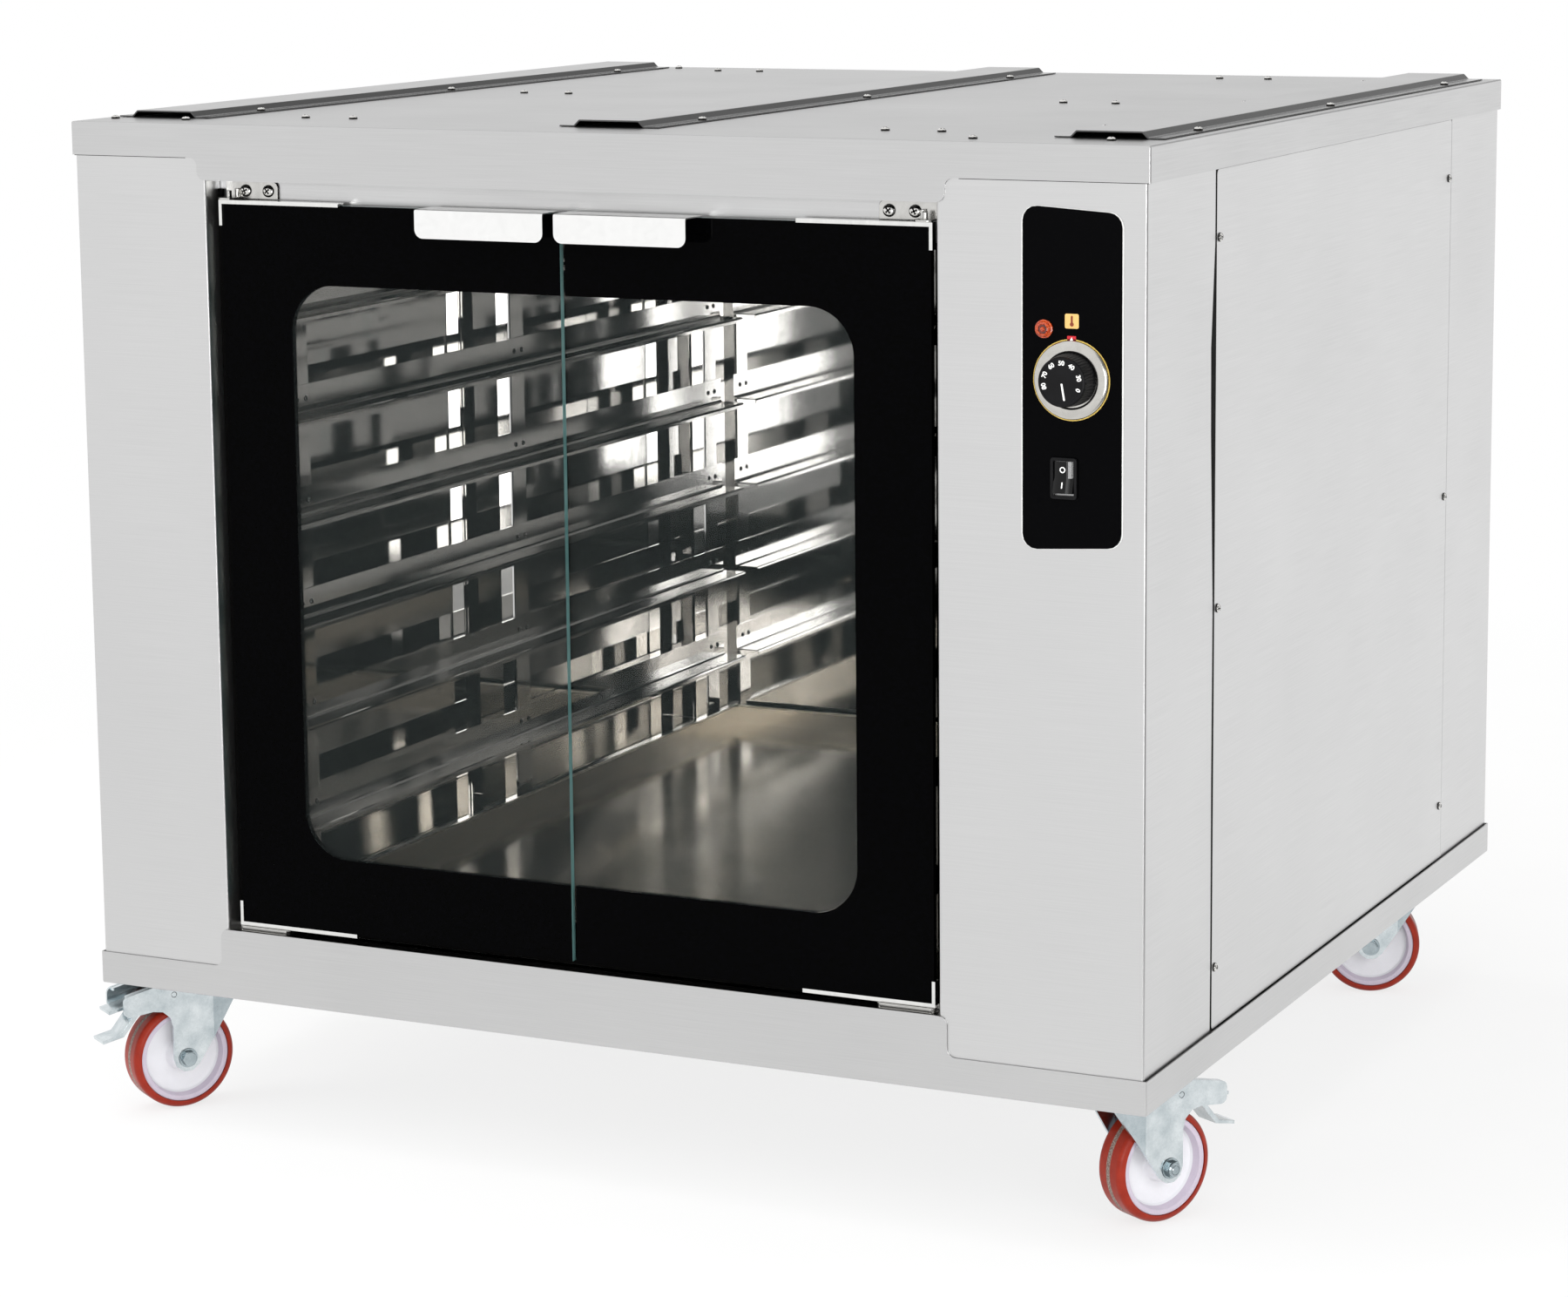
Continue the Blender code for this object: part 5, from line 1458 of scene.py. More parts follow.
    def handle(self) -> None:
        """The folded handle hooked over the pane, with a rounded finger lip."""
        low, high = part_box(f"{self.body}_handle")
        top, lip, clip = high.z, low.y, high.y
        line = rounded([(clip, top - self.handle_clip), (clip, top), (lip, top), (lip, low.z)],
                       self.handle_bend, closed=False, steps=5)
        section = ribbon(line, self.handle_sheet)
        blank = Blank().prism(section, high.x - low.x, placed(low.x, 0.0, 0.0, SIDE))
        foot = [edge for edge in blank.bm.edges
                if all(abs(vertex.co.z - low.z) < WELD for vertex in edge.verts)
                and abs(edge.verts[0].co.x - edge.verts[1].co.x) < WELD]
        bmesh.ops.bevel(blank.bm, geom=foot, offset=self.handle_corner, offset_type="OFFSET",
                        segments=8, profile=0.5, affect="EDGES")
        add_piece(blank, f"{self.body}_folded_handle", self.body, HANDLE_STEEL,
                  [f"{self.body}_handle"])

    def hinge_plate(self, node: str) -> None:
        """Replace a hinge bracket by a copy with its edges rounded and painted shade on the cut
        edges that face the meeting side.

        Args:
            node: The CAD node it stands for.
        """
        blank = Blank.of_node(node).soften(self.plate_edge, 2, SQUARE_DEGREES)
        piece = add_piece(blank, f"{node}_plate", "cabinet", BRACKET_STEEL, [node],
                          second=PAINTED_SHADE_STEEL)
        mark(piece, lambda face: face.normal.x * self.hand.way > self.plate_facing)

    def hinge_screws(self) -> None:
        """The two screws of each upper bracket, and the post beside its pin."""
        low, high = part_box(f"hinge_bracket_top_{self.hand.value}")
        pivot, _ = joint(f"{self.body}_hinge")
        way = self.hand.way
        face = high.y - self.screw_sink
        free = self.hand.ends(low.x, high.x)[1]
        middle = (low.z + high.z) / 2 + self.screw_lift
        blank = Blank()
        for inset in self.screw_insets:
            place = placed(free - way * inset, face, middle, FRONT)
            turn = Matrix.Rotation(self.screw_turn * inset / MM, 4, "Z")
            blank.screw(place @ turn, self.screw_radius, self.screw_height)
        beside, behind, above = self.post_place
        blank.turn(in_mm((0.0, 9.5), (1.6, 9.5), (2.0, 9.0), (2.0, 0.0), (0.0, 0.0)),
                   placed(pivot.x + way * beside, pivot.y + behind, low.z + above), 20)
        add_piece(blank, f"{self.hand.value}_hinge_screws", "cabinet", CHROME,
                  second=PAINTED_SHADE_STEEL)


@dataclass
class Controls:
    """The fascia with its printed marks, the lamp, the thermostat dial and the rocker switch."""

    knob_place: Pair = (42.8 * MM, 140.2 * MM)
    lamp_place: Pair = (19.1 * MM, 99.3 * MM)
    icon_place: Pair = (43.0 * MM, 92.3 * MM)
    mark_place: Pair = (42.8 * MM, 106.4 * MM)
    taper: float = 5.5 * MM
    corner: float = 12.0 * MM
    edge_line: float = 1.2 * MM
    edge_depth: float = 0.6 * MM
    seat: float = 0.3 * MM
    tile_half: float = 6.0 * MM
    lens_flats: int = 8
    lens_flat_depth: float = 0.05
    lens_flat_zone: Pair = (2.0 * MM, 5.0 * MM)
    lens_well: float = 3.5 * MM
    bezel_radius: float = 32.3 * MM
    knob_radius: float = 21.8 * MM
    knob_height: float = 21.0 * MM
    knob_ribs: int = 48
    knob_rib_depth: float = 0.35 * MM
    knob_face: float = 0.5 * MM
    pointer_angle: float = -80.0
    figures: tuple[tuple[str, float], ...] = (("80", 194.0), ("70", 159.0), ("60", 124.0),
                                              ("50", 90.0), ("40", 56.0), ("30", 15.0),
                                              ("0", -22.0))
    figure_size: float = 5.3 * MM
    figure_weight: float = 0.14 * MM
    figure_radius: float = 15.4 * MM
    rocker_half: float = 8.6 * MM
    rocker_crown: float = 15.0 * MM
    rocker_steps: int = 16
    rocker_edge: float = 0.9 * MM
    rocker_swing: float = 13.09 * MM
    rocker_lift: float = 10.0 * MM
    rocker_dip: float = 1.6 * MM
    rocker_tilt: float = -7.0
    rocker_waist: float = 9.0 * MM
    rocker_belly: float = 6.4 * MM
    rocker_back: float = 3.5 * MM
    rocker_facing: float = 0.2
    sign_place: float = 6.3 * MM
    sign_lift: float = 0.05 * MM

    def spot(self, place: Pair, lift: float = 0.0) -> Matrix:
        """A frame on the fascia's face, with its Z axis pointing out.

        Args:
            place: Distances from the fascia's left edge and down from its top.
            lift: How far out from the face.

        Returns:
            The frame.
        """
        low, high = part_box("control_fascia")
        return placed(low.x + place[0], low.y - lift, high.z - place[1], FRONT)

    def build(self) -> None:
        """Make the panel's pieces."""
        dress("control_fascia", FASCIA_BLACK)
        self.edge()
        self.marks()
        self.lamp()
        self.bezel()
        self.knob()
        self.switch()

    def edge(self) -> None:
        """The thin pale line round the fascia."""
        low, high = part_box("control_fascia")

        def outline(grow: float) -> list[Pair]:
            """The fascia's outline, grown by a little."""
            corners = [(low.x - grow, low.z - grow), (high.x + grow, low.z + self.taper - grow),
                       (high.x + grow, high.z - self.taper + grow), (low.x - grow, high.z + grow)]
            return rounded(corners, self.corner + grow)

        line = Blank().band(outline(self.edge_line), outline(PROUD), self.edge_depth,
                            placed(0.0, high.y, 0.0, FRONT))
        add_piece(line, "fascia_edge_line", "cabinet", WHITE_INK)

    def marks(self) -> None:
        """The thermometer sign and the red pointer mark over the dial."""
        half = self.tile_half
        tile = rounded(rectangle((-half, -half), (half, half)), 1.4 * MM)
        self.printed("thermometer_tile", tile, self.icon_place, SAND_INK)
        stem = arc((0.0, 3.6 * MM), 0.85 * MM, 0.0, 180.0, 10)
        bulb = arc((0.0, -2.6 * MM), 1.7 * MM, 120.0, 420.0, 24)
        self.printed("thermometer_sign", stem + bulb, self.icon_place, BROWN_INK, 1)
        flag = rounded(rectangle(*in_mm((-3.8, -1.9), (3.8, 2.1))), 0.5 * MM)
        self.printed("pointer_flag", flag, self.mark_place, RED_INK)
        tip = in_mm((-1.5, -1.7), (1.5, -1.7), (0.0, 1.2))
        self.printed("pointer_tip", tip, self.mark_place, WHITE_INK, 1)

    def printed(self, name: str, outline: Sequence[Pair], place: Pair, ink: Finish,
                under: int = 0) -> None:
        """Print one flat mark on the fascia.

        Args:
            name: The piece's name.
            outline: Its shape about its place.
            place: Distances from the fascia's left edge and down from its top.
            ink: What it is printed with.
            under: How many marks it lies on.
        """
        lift = under * (INK + PROUD) + PROUD
        add_piece(Blank().prism(outline, INK, self.spot(place, lift)), name, "cabinet", ink)

    def lamp(self) -> None:
        """The amber pilot lamp with a stepped lens."""
        dome = in_mm((0.0, 4.9), (1.5, 4.8), (2.1, 3.6), (3.6, 3.4), (4.2, 4.5), (5.2, 4.1),
                     (6.0, 3.2), (6.6, 1.8), (7.5, 1.4), (7.5, 0.0), (0.0, 0.0))
        inner, outer = self.lens_flat_zone

        def facets(radius: float, height: float, angle: float) -> float:
            """Flats round the lens."""
            depth = self.lens_flat_depth if inner < radius < outer else 0.0
            return radius * (1.0 - depth * cos(self.lens_flats * angle))

        place = self.spot(self.lamp_place, self.seat)
        add_piece(Blank().turn(dome, place, 64, facets), "pilot_lens", "cabinet", AMBER,
                  ["pilot_lamp"])
        well = Blank().band(circle(3.7 * MM, 64), circle(2.0 * MM, 64), 0.3 * MM,
                            place @ placed(0.0, 0.0, self.lens_well))
        add_piece(well, "pilot_lens_well", "cabinet", DEEP_AMBER)

    def bezel(self) -> None:
        """The crowned chrome bezel and the gold line round it."""
        size = self.bezel_radius
        dish = in_mm((3.4, 1.6), (22.3, 1.6), (22.8, 2.7), (23.6, 3.3), (24.6, 3.4), (29.6, 2.8),
                     (31.2, 2.3), (32.0, 1.6)) + [(size, 0.8 * MM), (size, 0.0), (3.4 * MM, 0.0)]
        add_piece(Blank().turn(dish, self.spot(self.knob_place, self.seat), 128), "crowned_bezel",
                  "cabinet", SATIN_CHROME, ["thermostat_bezel"])
        ring = Blank().band(circle(size + 1.0 * MM, 128), circle(size + 0.1 * MM, 128), INK,
                            self.spot(self.knob_place, PROUD))
        add_piece(ring, "bezel_gold_line", "cabinet", GOLD_INK)

    def knob(self) -> None:
        """The ribbed knob with its numbers and pointer line."""
        pivot, _ = joint("thermostat_turn")
        place = placed(*pivot, FRONT)
        size, rise = self.knob_radius, self.knob_height
        face = rise - self.knob_face
        profile = [(0.0, face), (17.6 * MM, face), (18.2 * MM, rise), (19.0 * MM, rise),
                   (19.9 * MM, face), (20.4 * MM, rise - 1.6 * MM), (20.7 * MM, rise - 3.2 * MM),
                   (size, 3.5 * MM), (size, 1.2 * MM), (size - 0.5 * MM, 0.3 * MM), (0.0, 0.3 * MM)]

        def ribs(radius: float, height: float, angle: float) -> float:
            """Fine grip ribs on the skirt."""
            depth = self.knob_rib_depth if radius > 20.5 * MM and height > 3.0 * MM else 0.0
            return radius - depth * (1.0 - cos(self.knob_ribs * angle))

        add_piece(Blank().turn(profile, place, self.knob_ribs * 4, ribs), "ribbed_knob", "knob",
                  BLACK_PLASTIC, ["thermostat_knob"])
        front = placed(pivot.x, pivot.y - face - PROUD, pivot.z, FRONT)
        blank = Blank()
        for text, angle in self.figures:
            turn = radians(angle)
            spot = placed(self.figure_radius * cos(turn), self.figure_radius * sin(turn), 0.0)
            upright = Matrix.Rotation(turn - pi / 2, 4, "Z")
            blank.figure(text, self.figure_size, self.figure_weight, INK, front @ spot @ upright)
        bar = rounded(rectangle(*in_mm((1.0, -0.8), (15.0, 0.8))), 0.7 * MM)
        blank.prism(bar, INK, front @ Matrix.Rotation(radians(self.pointer_angle), 4, "Z"))
        add_piece(blank, "knob_figures", "knob", WHITE_INK)

    def switch(self) -> None:
        """The switch housing, the glossy rocker and its two signs."""
        blank = Blank.of_node("switch_housing").soften(0.5 * MM, 2)
        add_piece(blank, "switch_frame", "cabinet", BLACK_PLASTIC,
                  ["switch_housing"])
        pivot, _ = joint("switch_tilt")
        swing, lift, dip = self.rocker_swing, self.rocker_lift, self.rocker_dip
        face = rounded([(-lift, swing), (dip - lift, 0.0), (-lift, -swing)],
                       [0, self.rocker_waist, 0], closed=False, steps=6)
        belly = arc((0.0, 0.0), self.rocker_belly, -60.0, 60.0, 8)
        outline = belly + [(-self.rocker_back, swing)] + face + [(-self.rocker_back, -swing)]
        turn = placed(*pivot, Matrix.Rotation(radians(self.rocker_tilt), 4, "X"))
        deepest = dip - lift + PROUD
        sections = []
        for step in range(self.rocker_steps + 1):
            x = self.rocker_half * (2 * step / self.rocker_steps - 1)
            sink = x * x / (2 * self.rocker_crown)
            row = [(x, y + sink if y < deepest else y, z) for y, z in outline]
            sections.append([turn @ Vector(spot) for spot in row])
        blank = Blank().loft(sections).soften(self.rocker_edge, 3, 50.0)
        piece = add_piece(blank, "glossy_rocker", "switch_rocker", ROCKER_BLACK,
                          ["rocker"], second=ROCKER_HIGHLIGHT)
        # Faces turned to the right get the glossier finish: painted highlight
        mark(piece, lambda side: side.normal.x > self.rocker_facing)
        slope = atan2(dip, swing)
        front = dip / 2 - lift - PROUD - self.sign_lift
        upper, lower = [turn @ placed(0.0, front, way * self.sign_place)
                        @ Matrix.Rotation(way * slope, 4, "X") @ FRONT for way in (1, -1)]
        signs = Blank().band(circle(2.5 * MM, 32), circle(1.6 * MM, 32), INK, upper)
        signs.prism(rectangle(*in_mm((-0.5, -2.5), (0.5, 2.5))), INK, lower)
        add_piece(signs, "rocker_signs", "switch_rocker", WHITE_INK)


@dataclass
class Caster:
    """One caster: plate, fork, axle bolt and nut, wheel core and tyre, and a brake at the front."""

    corner: Corner
    radius: float = 50.0 * MM
    tyre_half: float = 16.0 * MM
    seat: float = 43.5 * MM
    seam_half: float = 2.6 * MM
    fork_outside: float = 22.8 * MM
    fork_inside: float = 19.5 * MM
    crease: float = 9.0 * MM
    lean: float = 0.2
    arm_start: Triple = (57.0 * MM, 0.0, -4.0 * MM)
    arm_slope: float = 11.8
    arm_length: float = 38.0 * MM
    arm_fold: float = 5.0 * MM
    arm_lap: float = 1.0 * MM
    arm_corner: float = 1.2 * MM
    arm_sheet: float = 2.2 * MM
    hub: float = 13.5 * MM
    bore: float = 4.3 * MM
    hub_out: float = 19.7 * MM
    rim: float = 36.0 * MM
    shoulder: float = 6.0 * MM
    seam_sink: float = 0.6 * MM
    seam_bevel: float = 0.2 * MM
    bolt_gap: float = 0.3 * MM
    nut_corner: float = 7.5 * MM
    flank_facing: float = 0.4
    edge: float = 0.6 * MM
    plate_sheet: float = 3.0 * MM
    plate_bolts: Pair = (40.0 * MM, 32.0 * MM)
    plate_nut_corner: float = 6.0 * MM
    plate_nut_height: float = 4.0 * MM

    def __post_init__(self) -> None:
        """Find the axle in the CAD."""
        self.axle, self.across = joint(f"wheel_{self.name}_spin")

    @property
    def name(self) -> str:
        """This caster's place, as the CAD names it."""
        return self.corner.value

    def build(self) -> None:
        """Make the caster's pieces."""
        self.softened("caster_plate", "cabinet", "plate")
        self.fork()
        self.bolt()
        self.core()
        self.tyre()
        self.plate_nuts()
        if self.corner.braked:
            self.softened("brake_pedal", f"pedal_{self.name}", "pedal_pressing")

    def softened(self, kind: str, body: str, label: str) -> None:
        """Replace a pressed CAD piece by a copy with its edges rounded.

        Args:
            kind: The CAD node's name without the caster's place.
            body: The CAD body it rides on.
            label: The piece's name without the caster's place.
        """
        node = f"{kind}_{self.name}"
        blank = Blank.of_node(node).soften(self.edge, 2)
        add_piece(blank, f"{label}_{self.name}", body, ZINC, [node], smooth=42.0)

    def fork(self) -> None:
        """The pressed fork: creased legs whose noses lean in, and folded brake arms."""
        node = f"caster_fork_{self.name}"
        swivel, _ = joint(f"swivel_{self.name}_turn")
        trail = Vector((self.axle.x - swivel.x, self.axle.y - swivel.y, 0.0)).normalized()
        blank = Blank.of_node(node)
        whole = blank.bm.verts[:] + blank.bm.edges[:] + blank.bm.faces[:]
        bmesh.ops.bisect_plane(blank.bm, geom=whole, dist=WELD,
                               plane_co=swivel + trail * self.crease, plane_no=trail)
        for vertex in blank.bm.verts:
            ahead = self.crease - (vertex.co - swivel).dot(trail)
            side = (vertex.co - self.axle).dot(self.across)
            if ahead > WELD and abs(side) > self.fork_inside:
                vertex.co -= self.across * ahead * self.lean * (1 if side > 0 else -1)
        blank.soften(self.edge, 2)
        if self.corner.braked:
            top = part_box(node)[1].z
            along = Matrix((trail, -self.across, Vector((0.0, 0.0, 1.0)))).transposed().to_4x4()
            start = placed(swivel.x, swivel.y, top, along) @ placed(*self.arm_start)
            slope = Matrix.Rotation(radians(self.arm_slope), 4, "Y")
            for way in (-1, 1):
                edges = sorted((way * (self.fork_inside + self.arm_lap),
                                way * (self.fork_inside - self.arm_fold)))
                fold = rectangle((0.0, edges[0]), (self.arm_length, edges[1]))
                blank.prism(rounded(fold, self.arm_corner, steps=3), self.arm_sheet, start @ slope)
        piece = add_piece(blank, f"pressed_fork_{self.name}", f"swivel_{self.name}", ZINC,
                          [node], smooth=8.0, second=ZINC_NOSE_SHADE)
        # The noses ahead of the crease get the darker zinc: painted shade
        mark(piece, lambda face: (face.center - swivel).dot(trail) < self.crease)

    def on_axle(self, way: int, out: float = 0.0) -> Matrix:
        """A frame on the axle that faces along it, a distance out from the wheel's middle."""
        facing = (self.across * way).to_track_quat("Z", "Y").to_matrix().to_4x4()
        return Matrix.Translation(self.axle + self.across * way * out) @ facing

    def nut(self, blank: Blank, place: Matrix, height: float) -> None:
        """Add a hexagon on a washer."""
        blank.turn(in_mm((4.4, 0.9), (9.0, 0.9), (9.2, 0.5), (9.2, 0.0), (4.4, 0.0)), place, 40)
        blank.prism(circle(self.nut_corner, 6), height, place @ placed(0.0, 0.0, 0.9 * MM))

    def bolt(self) -> None:
        """The axle bolt with a chamfered hexagon head, and a lock nut on its other end."""
        reach = self.fork_outside + self.bolt_gap
        blank = Blank()
        head = self.on_axle(1, reach)
        self.nut(blank, head, 4.2 * MM)
        cap = in_mm((0.0, 0.5), (5.9, 0.5), (6.4, 0.0), (0.0, 0.0))
        blank.turn(cap, head @ placed(0.0, 0.0, 5.1 * MM), 40)
        tail = self.on_axle(-1, reach)
        self.nut(blank, tail, 3.6 * MM)
        collar = in_mm((4.3, 6.6), (5.2, 6.6), (6.2, 5.6), (6.3, 4.5), (4.3, 4.5))
        blank.turn(collar, tail, 40)
        thread = in_mm((0.0, 7.4), (3.3, 7.4), (4.0, 6.7))
        thread += [(4.0 * MM, -2 * reach), (0.0, -2 * reach)]
        blank.turn(thread, tail, 24)
        piece = add_piece(blank, f"axle_bolt_{self.name}", f"swivel_{self.name}", ZINC_BOLT,
                          [f"caster_axle_{self.name}"], second=ZINC_FLANK_SHADE)
        # Faces that don't face along the axle get the darker zinc: painted shade on the flanks
        mark(piece, lambda face: abs(face.normal.dot(self.across)) < self.flank_facing)

    def core(self) -> None:
        """The moulded core: hub, dished web and rim."""
        hub, out = self.hub, self.hub_out
        half = [(self.bore, out), (hub - 1.0 * MM, out), (hub, out - 1.0 * MM),
                (hub + 0.6 * MM, 8.5 * MM), (hub + 2.2 * MM, 5.6 * MM), (hub + 5.0 * MM, 4.7 * MM)]
        half += in_mm((33.0, 4.9), (35.2, 5.9), (36.6, 8.0), (38.0, 13.2), (38.6, 14.6),
                      (39.4, 15.0), (42.6, 15.0), (43.2, 14.6))
        blank = Blank().turn(both_sides(half), self.on_axle(1), 96)
        piece = add_piece(blank, f"moulded_core_{self.name}", f"wheel_{self.name}", NYLON,
                          [f"wheel_core_{self.name}"], smooth=28.0, second=RIM_SHADE_NYLON)

        def on_shaded_rim(face: Face) -> bool:
            """Whether a face is on the rim."""
            away = face.center - self.axle
            return (away - self.across * away.dot(self.across)).length > self.rim

        # Rim faces get the lilac nylon: painted shade and painted reflection of the red tyre
        mark(piece, on_shaded_rim)

    def tyre(self) -> None:
        """The cast tyre with rounded shoulders, and its gritty parting line."""
        crown, turn = self.radius, self.shoulder
        half = [(self.seat, self.tyre_half)]
        half += arc((crown - turn, self.tyre_half - turn), turn, 78.0, 0.0, 6)
        profile = both_sides(half + [(crown, self.seam_half)])
        add_piece(Blank().turn(profile, self.on_axle(1), 128), f"cast_tyre_{self.name}",
                  f"wheel_{self.name}", TYRE_RED, [f"tyre_{self.name}"], smooth=30.0)
        seam = both_sides([(crown - self.seam_sink, self.seam_half),
                           (crown + PROUD, self.seam_half - self.seam_bevel)])
        add_piece(Blank().turn(seam, self.on_axle(1), 128), f"tyre_seam_{self.name}",
                  f"wheel_{self.name}", SEAM_GREY)

    def plate_nuts(self) -> None:
        """The four nuts that hold the plate to the base."""
        low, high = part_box(f"caster_plate_{self.name}")
        middle = (low + high) / 2
        under = high.z - self.plate_sheet
        hexagon = circle(self.plate_nut_corner, 6)
        stud = in_mm((0.0, 6.5), (2.4, 6.5), (3.0, 6.0), (3.0, 4.0), (0.0, 4.0))
        reach_x, reach_y = self.plate_bolts
        blank = Blank()
        for x in (middle.x - reach_x, middle.x + reach_x):
            for y in (middle.y - reach_y, middle.y + reach_y):
                place = placed(x, y, under, Matrix.Rotation(pi, 4, "X"))
                blank.prism(hexagon, self.plate_nut_height, place).turn(stud, place, 16)
        add_piece(blank, f"plate_nuts_{self.name}", "cabinet", ZINC)


@dataclass
class Studio:
    """The plain studio: pale floor, white surroundings, soft lamps and the photograph's camera."""

    camera_place: Triple = (1.6767, -3.5883, 1.1608)
    yaw: float = 25.653
    pitch: float = 9.188
    roll: float = -0.55
    lens: float = 94.88
    sensor: float = 36.0
    shift: float = -0.08
    far_clip: float = 100.0
    floor_half: float = 14.0
    ambient: float = 0.68
    dark_side: Triple = (0.893, -0.427, 0.14)
    dark_end: Triple = (0.16, 0.88, 0.44)
    end_range: Pair = (0.9, 0.96)
    end_depth: float = 0.55
    strip_range: Pair = (0.978, 0.99)
    strip_glow: float = 1.6
    softboxes: tuple[tuple[str, Triple, Triple, float, float], ...] = (
        ("overhead_softbox", (-0.4, -0.5, 3.4), (0.0, 0.0, 0.5), 3.0, 74.0),
        ("left_softbox", (-2.9, -2.6, 2.2), (0.0, -0.2, 0.5), 1.8, 54.0),
        ("right_softbox", (3.0, -2.2, 1.7), (0.0, 0.0, 0.4), 1.8, 38.0))
    panels: tuple[tuple[str, float, float], ...] = (("wide_panel", 1.32, 0.24),
                                                    ("near_panel", 1.004, 0.22),
                                                    ("slim_panel", 1.593, 0.05),
                                                    ("edge_panel", 1.68, 0.03))
    panel_row: float = -2.4
    panel_height: float = 1.0
    panel_aim: Pair = (-1.0, 2.05)
    panel_power: float = 20.0

    def build(self) -> None:
        """Make the studio."""
        scene = bpy.context.scene
        scene.view_settings.view_transform = "Standard"
        self.floor()
        self.surroundings()
        for name, place, aim, side, power in self.softboxes:
            self.lamp(name, place, aim, (side, side), power)
        row, high = self.panel_row, self.panel_height
        for name, x, width in self.panels:
            aim = (x + self.panel_aim[0], row + self.panel_aim[1], high / 2)
            self.lamp(name, (x, row, high / 2), aim, (width, high), self.panel_power * width * high,
                      True)
        self.camera()

    def floor(self) -> None:
        """The floor, which isn't part of the cabinet."""
        half = self.floor_half
        corners = [(x, y, 0.0) for x, y in rectangle((-half, -half), (half, half))]
        made = bpy.data.meshes.new("studio_floor")
        made.from_pydata(corners, [], [range(len(corners))])
        made.materials.append(FLOOR.material())
        floor = bpy.data.objects.new("studio_floor", made)
        bpy.context.scene.collection.objects.link(floor)

    def mirrored_room(self, tree: Tree) -> Socket:
        """How bright the room looks in a mirror.

        It is white, with a dark patch high at the far end and a dark side with one bright strip,
        which give bright metal its contrast.

        Args:
            tree: The world's nodes.

        Returns:
            The brightness, where 1 is white.
        """
        way = add_node(tree, "ShaderNodeTexCoord").outputs["Generated"]
        far = add_node(tree, "ShaderNodeVectorMath", {0: way, 1: self.dark_end},
                       operation="DOT_PRODUCT")
        end = add_node(tree, "ShaderNodeMapRange",
                       {"Value": far.outputs["Value"], "From Min": self.end_range[0],
                        "From Max": self.end_range[1], "To Max": self.end_depth})
        side = add_node(tree, "ShaderNodeVectorMath", {0: way, 1: self.dark_side},
                        operation="DOT_PRODUCT")
        wall = add_node(tree, "ShaderNodeMapRange",
                        {"Value": side.outputs["Value"], "From Min": DARK_RANGE[0],
                         "From Max": DARK_RANGE[1], "To Max": DARK_DEPTH})
        dark = add_node(tree, "ShaderNodeMath", {0: end.outputs[0], 1: wall.outputs[0]},
                        operation="MAXIMUM")
        strip = add_node(tree, "ShaderNodeMapRange",
                         {"Value": side.outputs["Value"], "From Min": self.strip_range[0],
                          "From Max": self.strip_range[1], "To Max": self.strip_glow})
        pale = add_node(tree, "ShaderNodeMath", {0: 1.0, 1: dark.outputs[0]}, operation="SUBTRACT")
        return add_node(tree, "ShaderNodeMath", {0: pale.outputs[0], 1: strip.outputs[0]},
                        operation="ADD").outputs[0]

    def surroundings(self) -> None:
        """White for what looks straight into it, the room for mirrors, plain light for the rest."""
        world = bpy.data.worlds.new("white_studio")
        bpy.context.scene.world = world
        world.use_nodes = True
        tree = world.node_tree
        tree.nodes.clear()
        path = add_node(tree, "ShaderNodeLightPath")
        seen = add_node(tree, "ShaderNodeMath",
                        {0: path.outputs["Is Camera Ray"],
                         1: path.outputs["Is Transmission Ray"]}, operation="MAXIMUM")
        white = add_node(tree, "ShaderNodeBackground", {"Color": WHITE, "Strength": 1.0})
        plain = add_node(tree, "ShaderNodeBackground", {"Color": WHITE, "Strength": self.ambient})
        room = add_node(tree, "ShaderNodeBackground",
                        {"Color": WHITE, "Strength": self.mirrored_room(tree)})
        lit = add_node(tree, "ShaderNodeMixShader",
                       {0: path.outputs["Is Glossy Ray"], 1: plain.outputs[0], 2: room.outputs[0]})
        mixed = add_node(tree, "ShaderNodeMixShader",
                         {0: seen.outputs[0], 1: lit.outputs[0], 2: white.outputs[0]})
        add_node(tree, "ShaderNodeOutputWorld", {"Surface": mixed.outputs[0]})

    def lamp(self, name: str, place: Triple, aim: Triple, size: Pair, power: float,
             mirrored: bool = False) -> None:
        """Add one softbox.

        Args:
            name: Its name.
            place: Where it hangs.
            aim: The point it faces.
            size: Its width and height.
            power: Its power in watts.
            mirrored: Whether bright metal shows it.
        """
        light = bpy.data.lights.new(name, "AREA")
        light.shape = "RECTANGLE"
        light.size, light.size_y = size
        light.energy = power
        lamp = bpy.data.objects.new(name, light)
        lamp.location = place
        lamp.rotation_euler = (Vector(aim) - Vector(place)).to_track_quat("-Z", "Y").to_euler()
        lamp.visible_glossy = mirrored
        lamp.visible_camera = False
        bpy.context.scene.collection.objects.link(lamp)

    def camera(self) -> None:
        """The camera at the photograph's place and angle."""
        data = bpy.data.cameras.new("photo_camera")
        data.sensor_fit = "HORIZONTAL"
        data.sensor_width = self.sensor
        data.lens = self.lens
        data.shift_y = self.shift
        data.clip_end = self.far_clip
        camera = bpy.data.objects.new("photo_camera", data)
        turn = (Matrix.Rotation(radians(self.yaw), 4, "Z")
                @ Matrix.Rotation(radians(90.0 - self.pitch), 4, "X")
                @ Matrix.Rotation(radians(self.roll), 4, "Z"))
        camera.matrix_world = placed(*self.camera_place, turn)
        bpy.context.scene.collection.objects.link(camera)
        bpy.context.scene.camera = camera


def main() -> None:
    """Build the sub-assemblies in order, then the studio."""
    logging.basicConfig(level=logging.INFO, format="%(message)s")
    Shell().build()
    Chamber().build()
    for hand in Hand:
        Door(hand).build()
    Controls().build()
    for corner in Corner:
        Caster(corner).build()
    Studio().build()


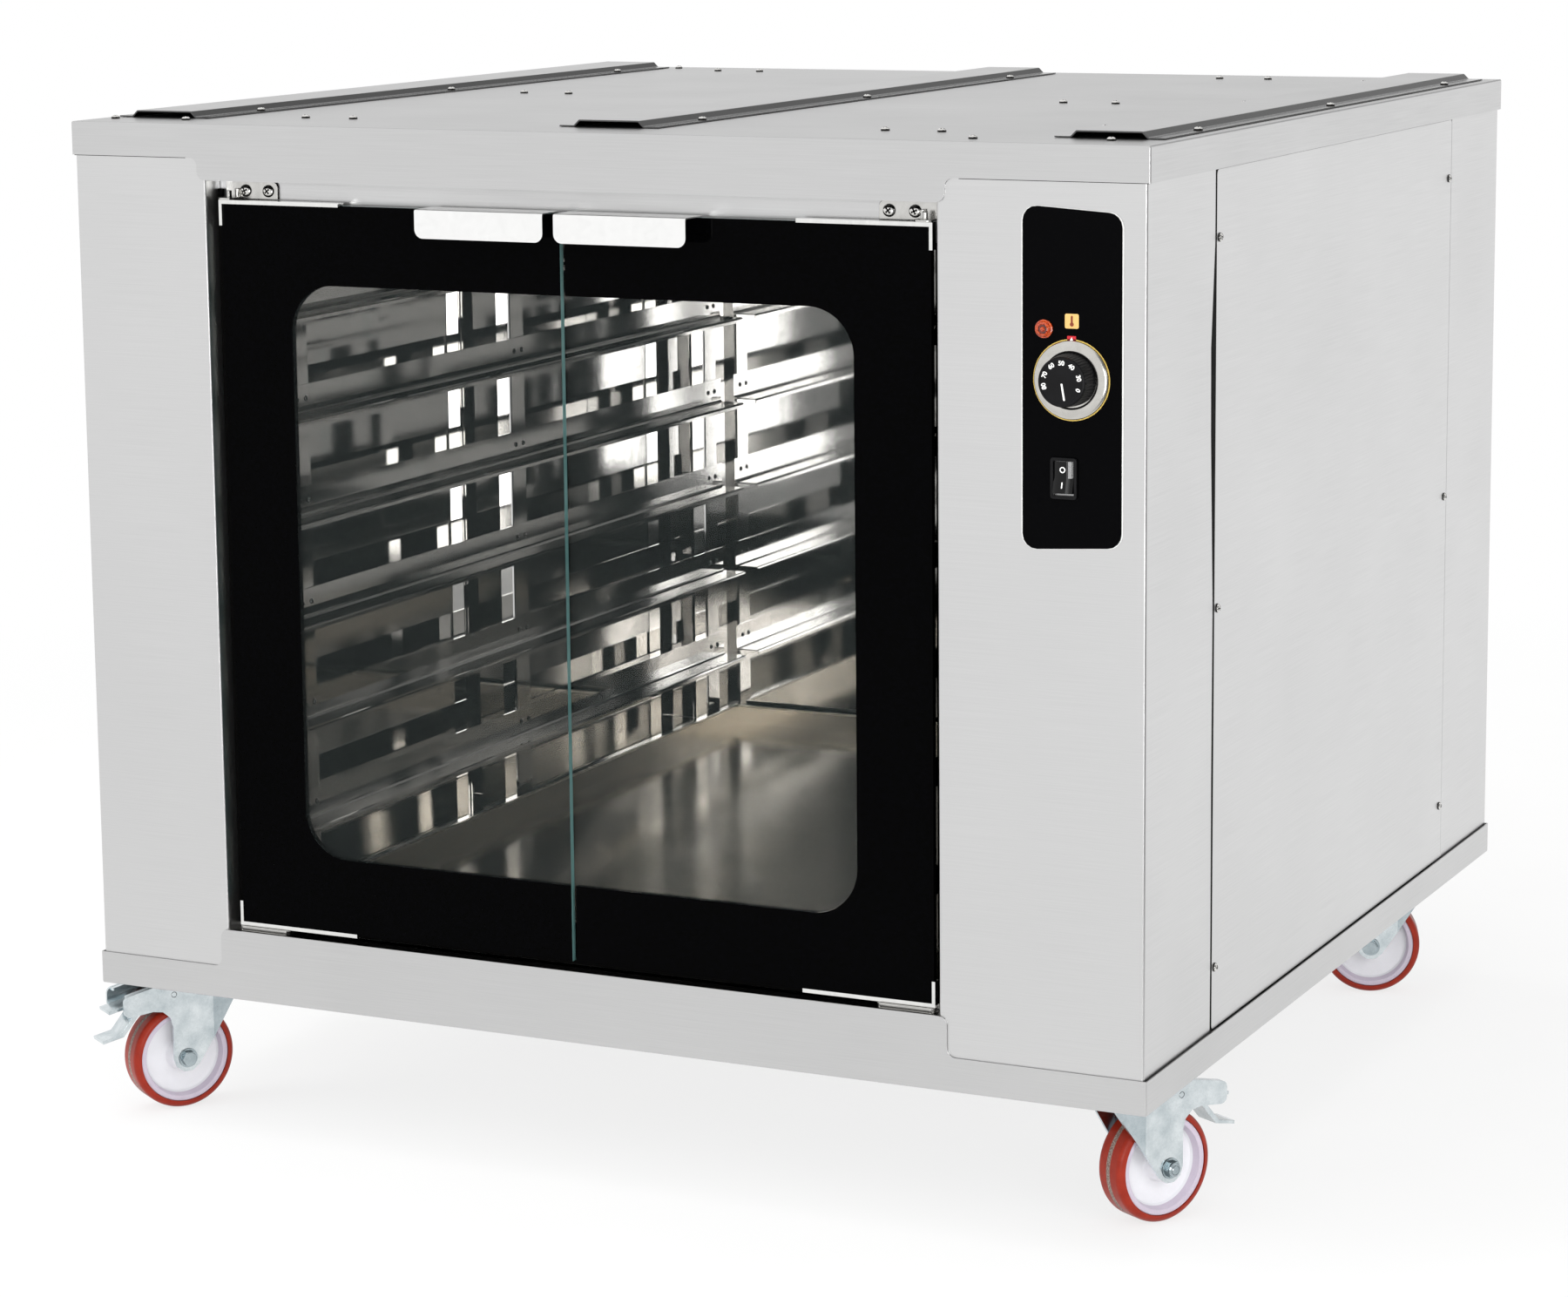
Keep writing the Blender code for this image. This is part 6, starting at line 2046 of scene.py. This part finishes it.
if __name__ == "__main__":
    main()
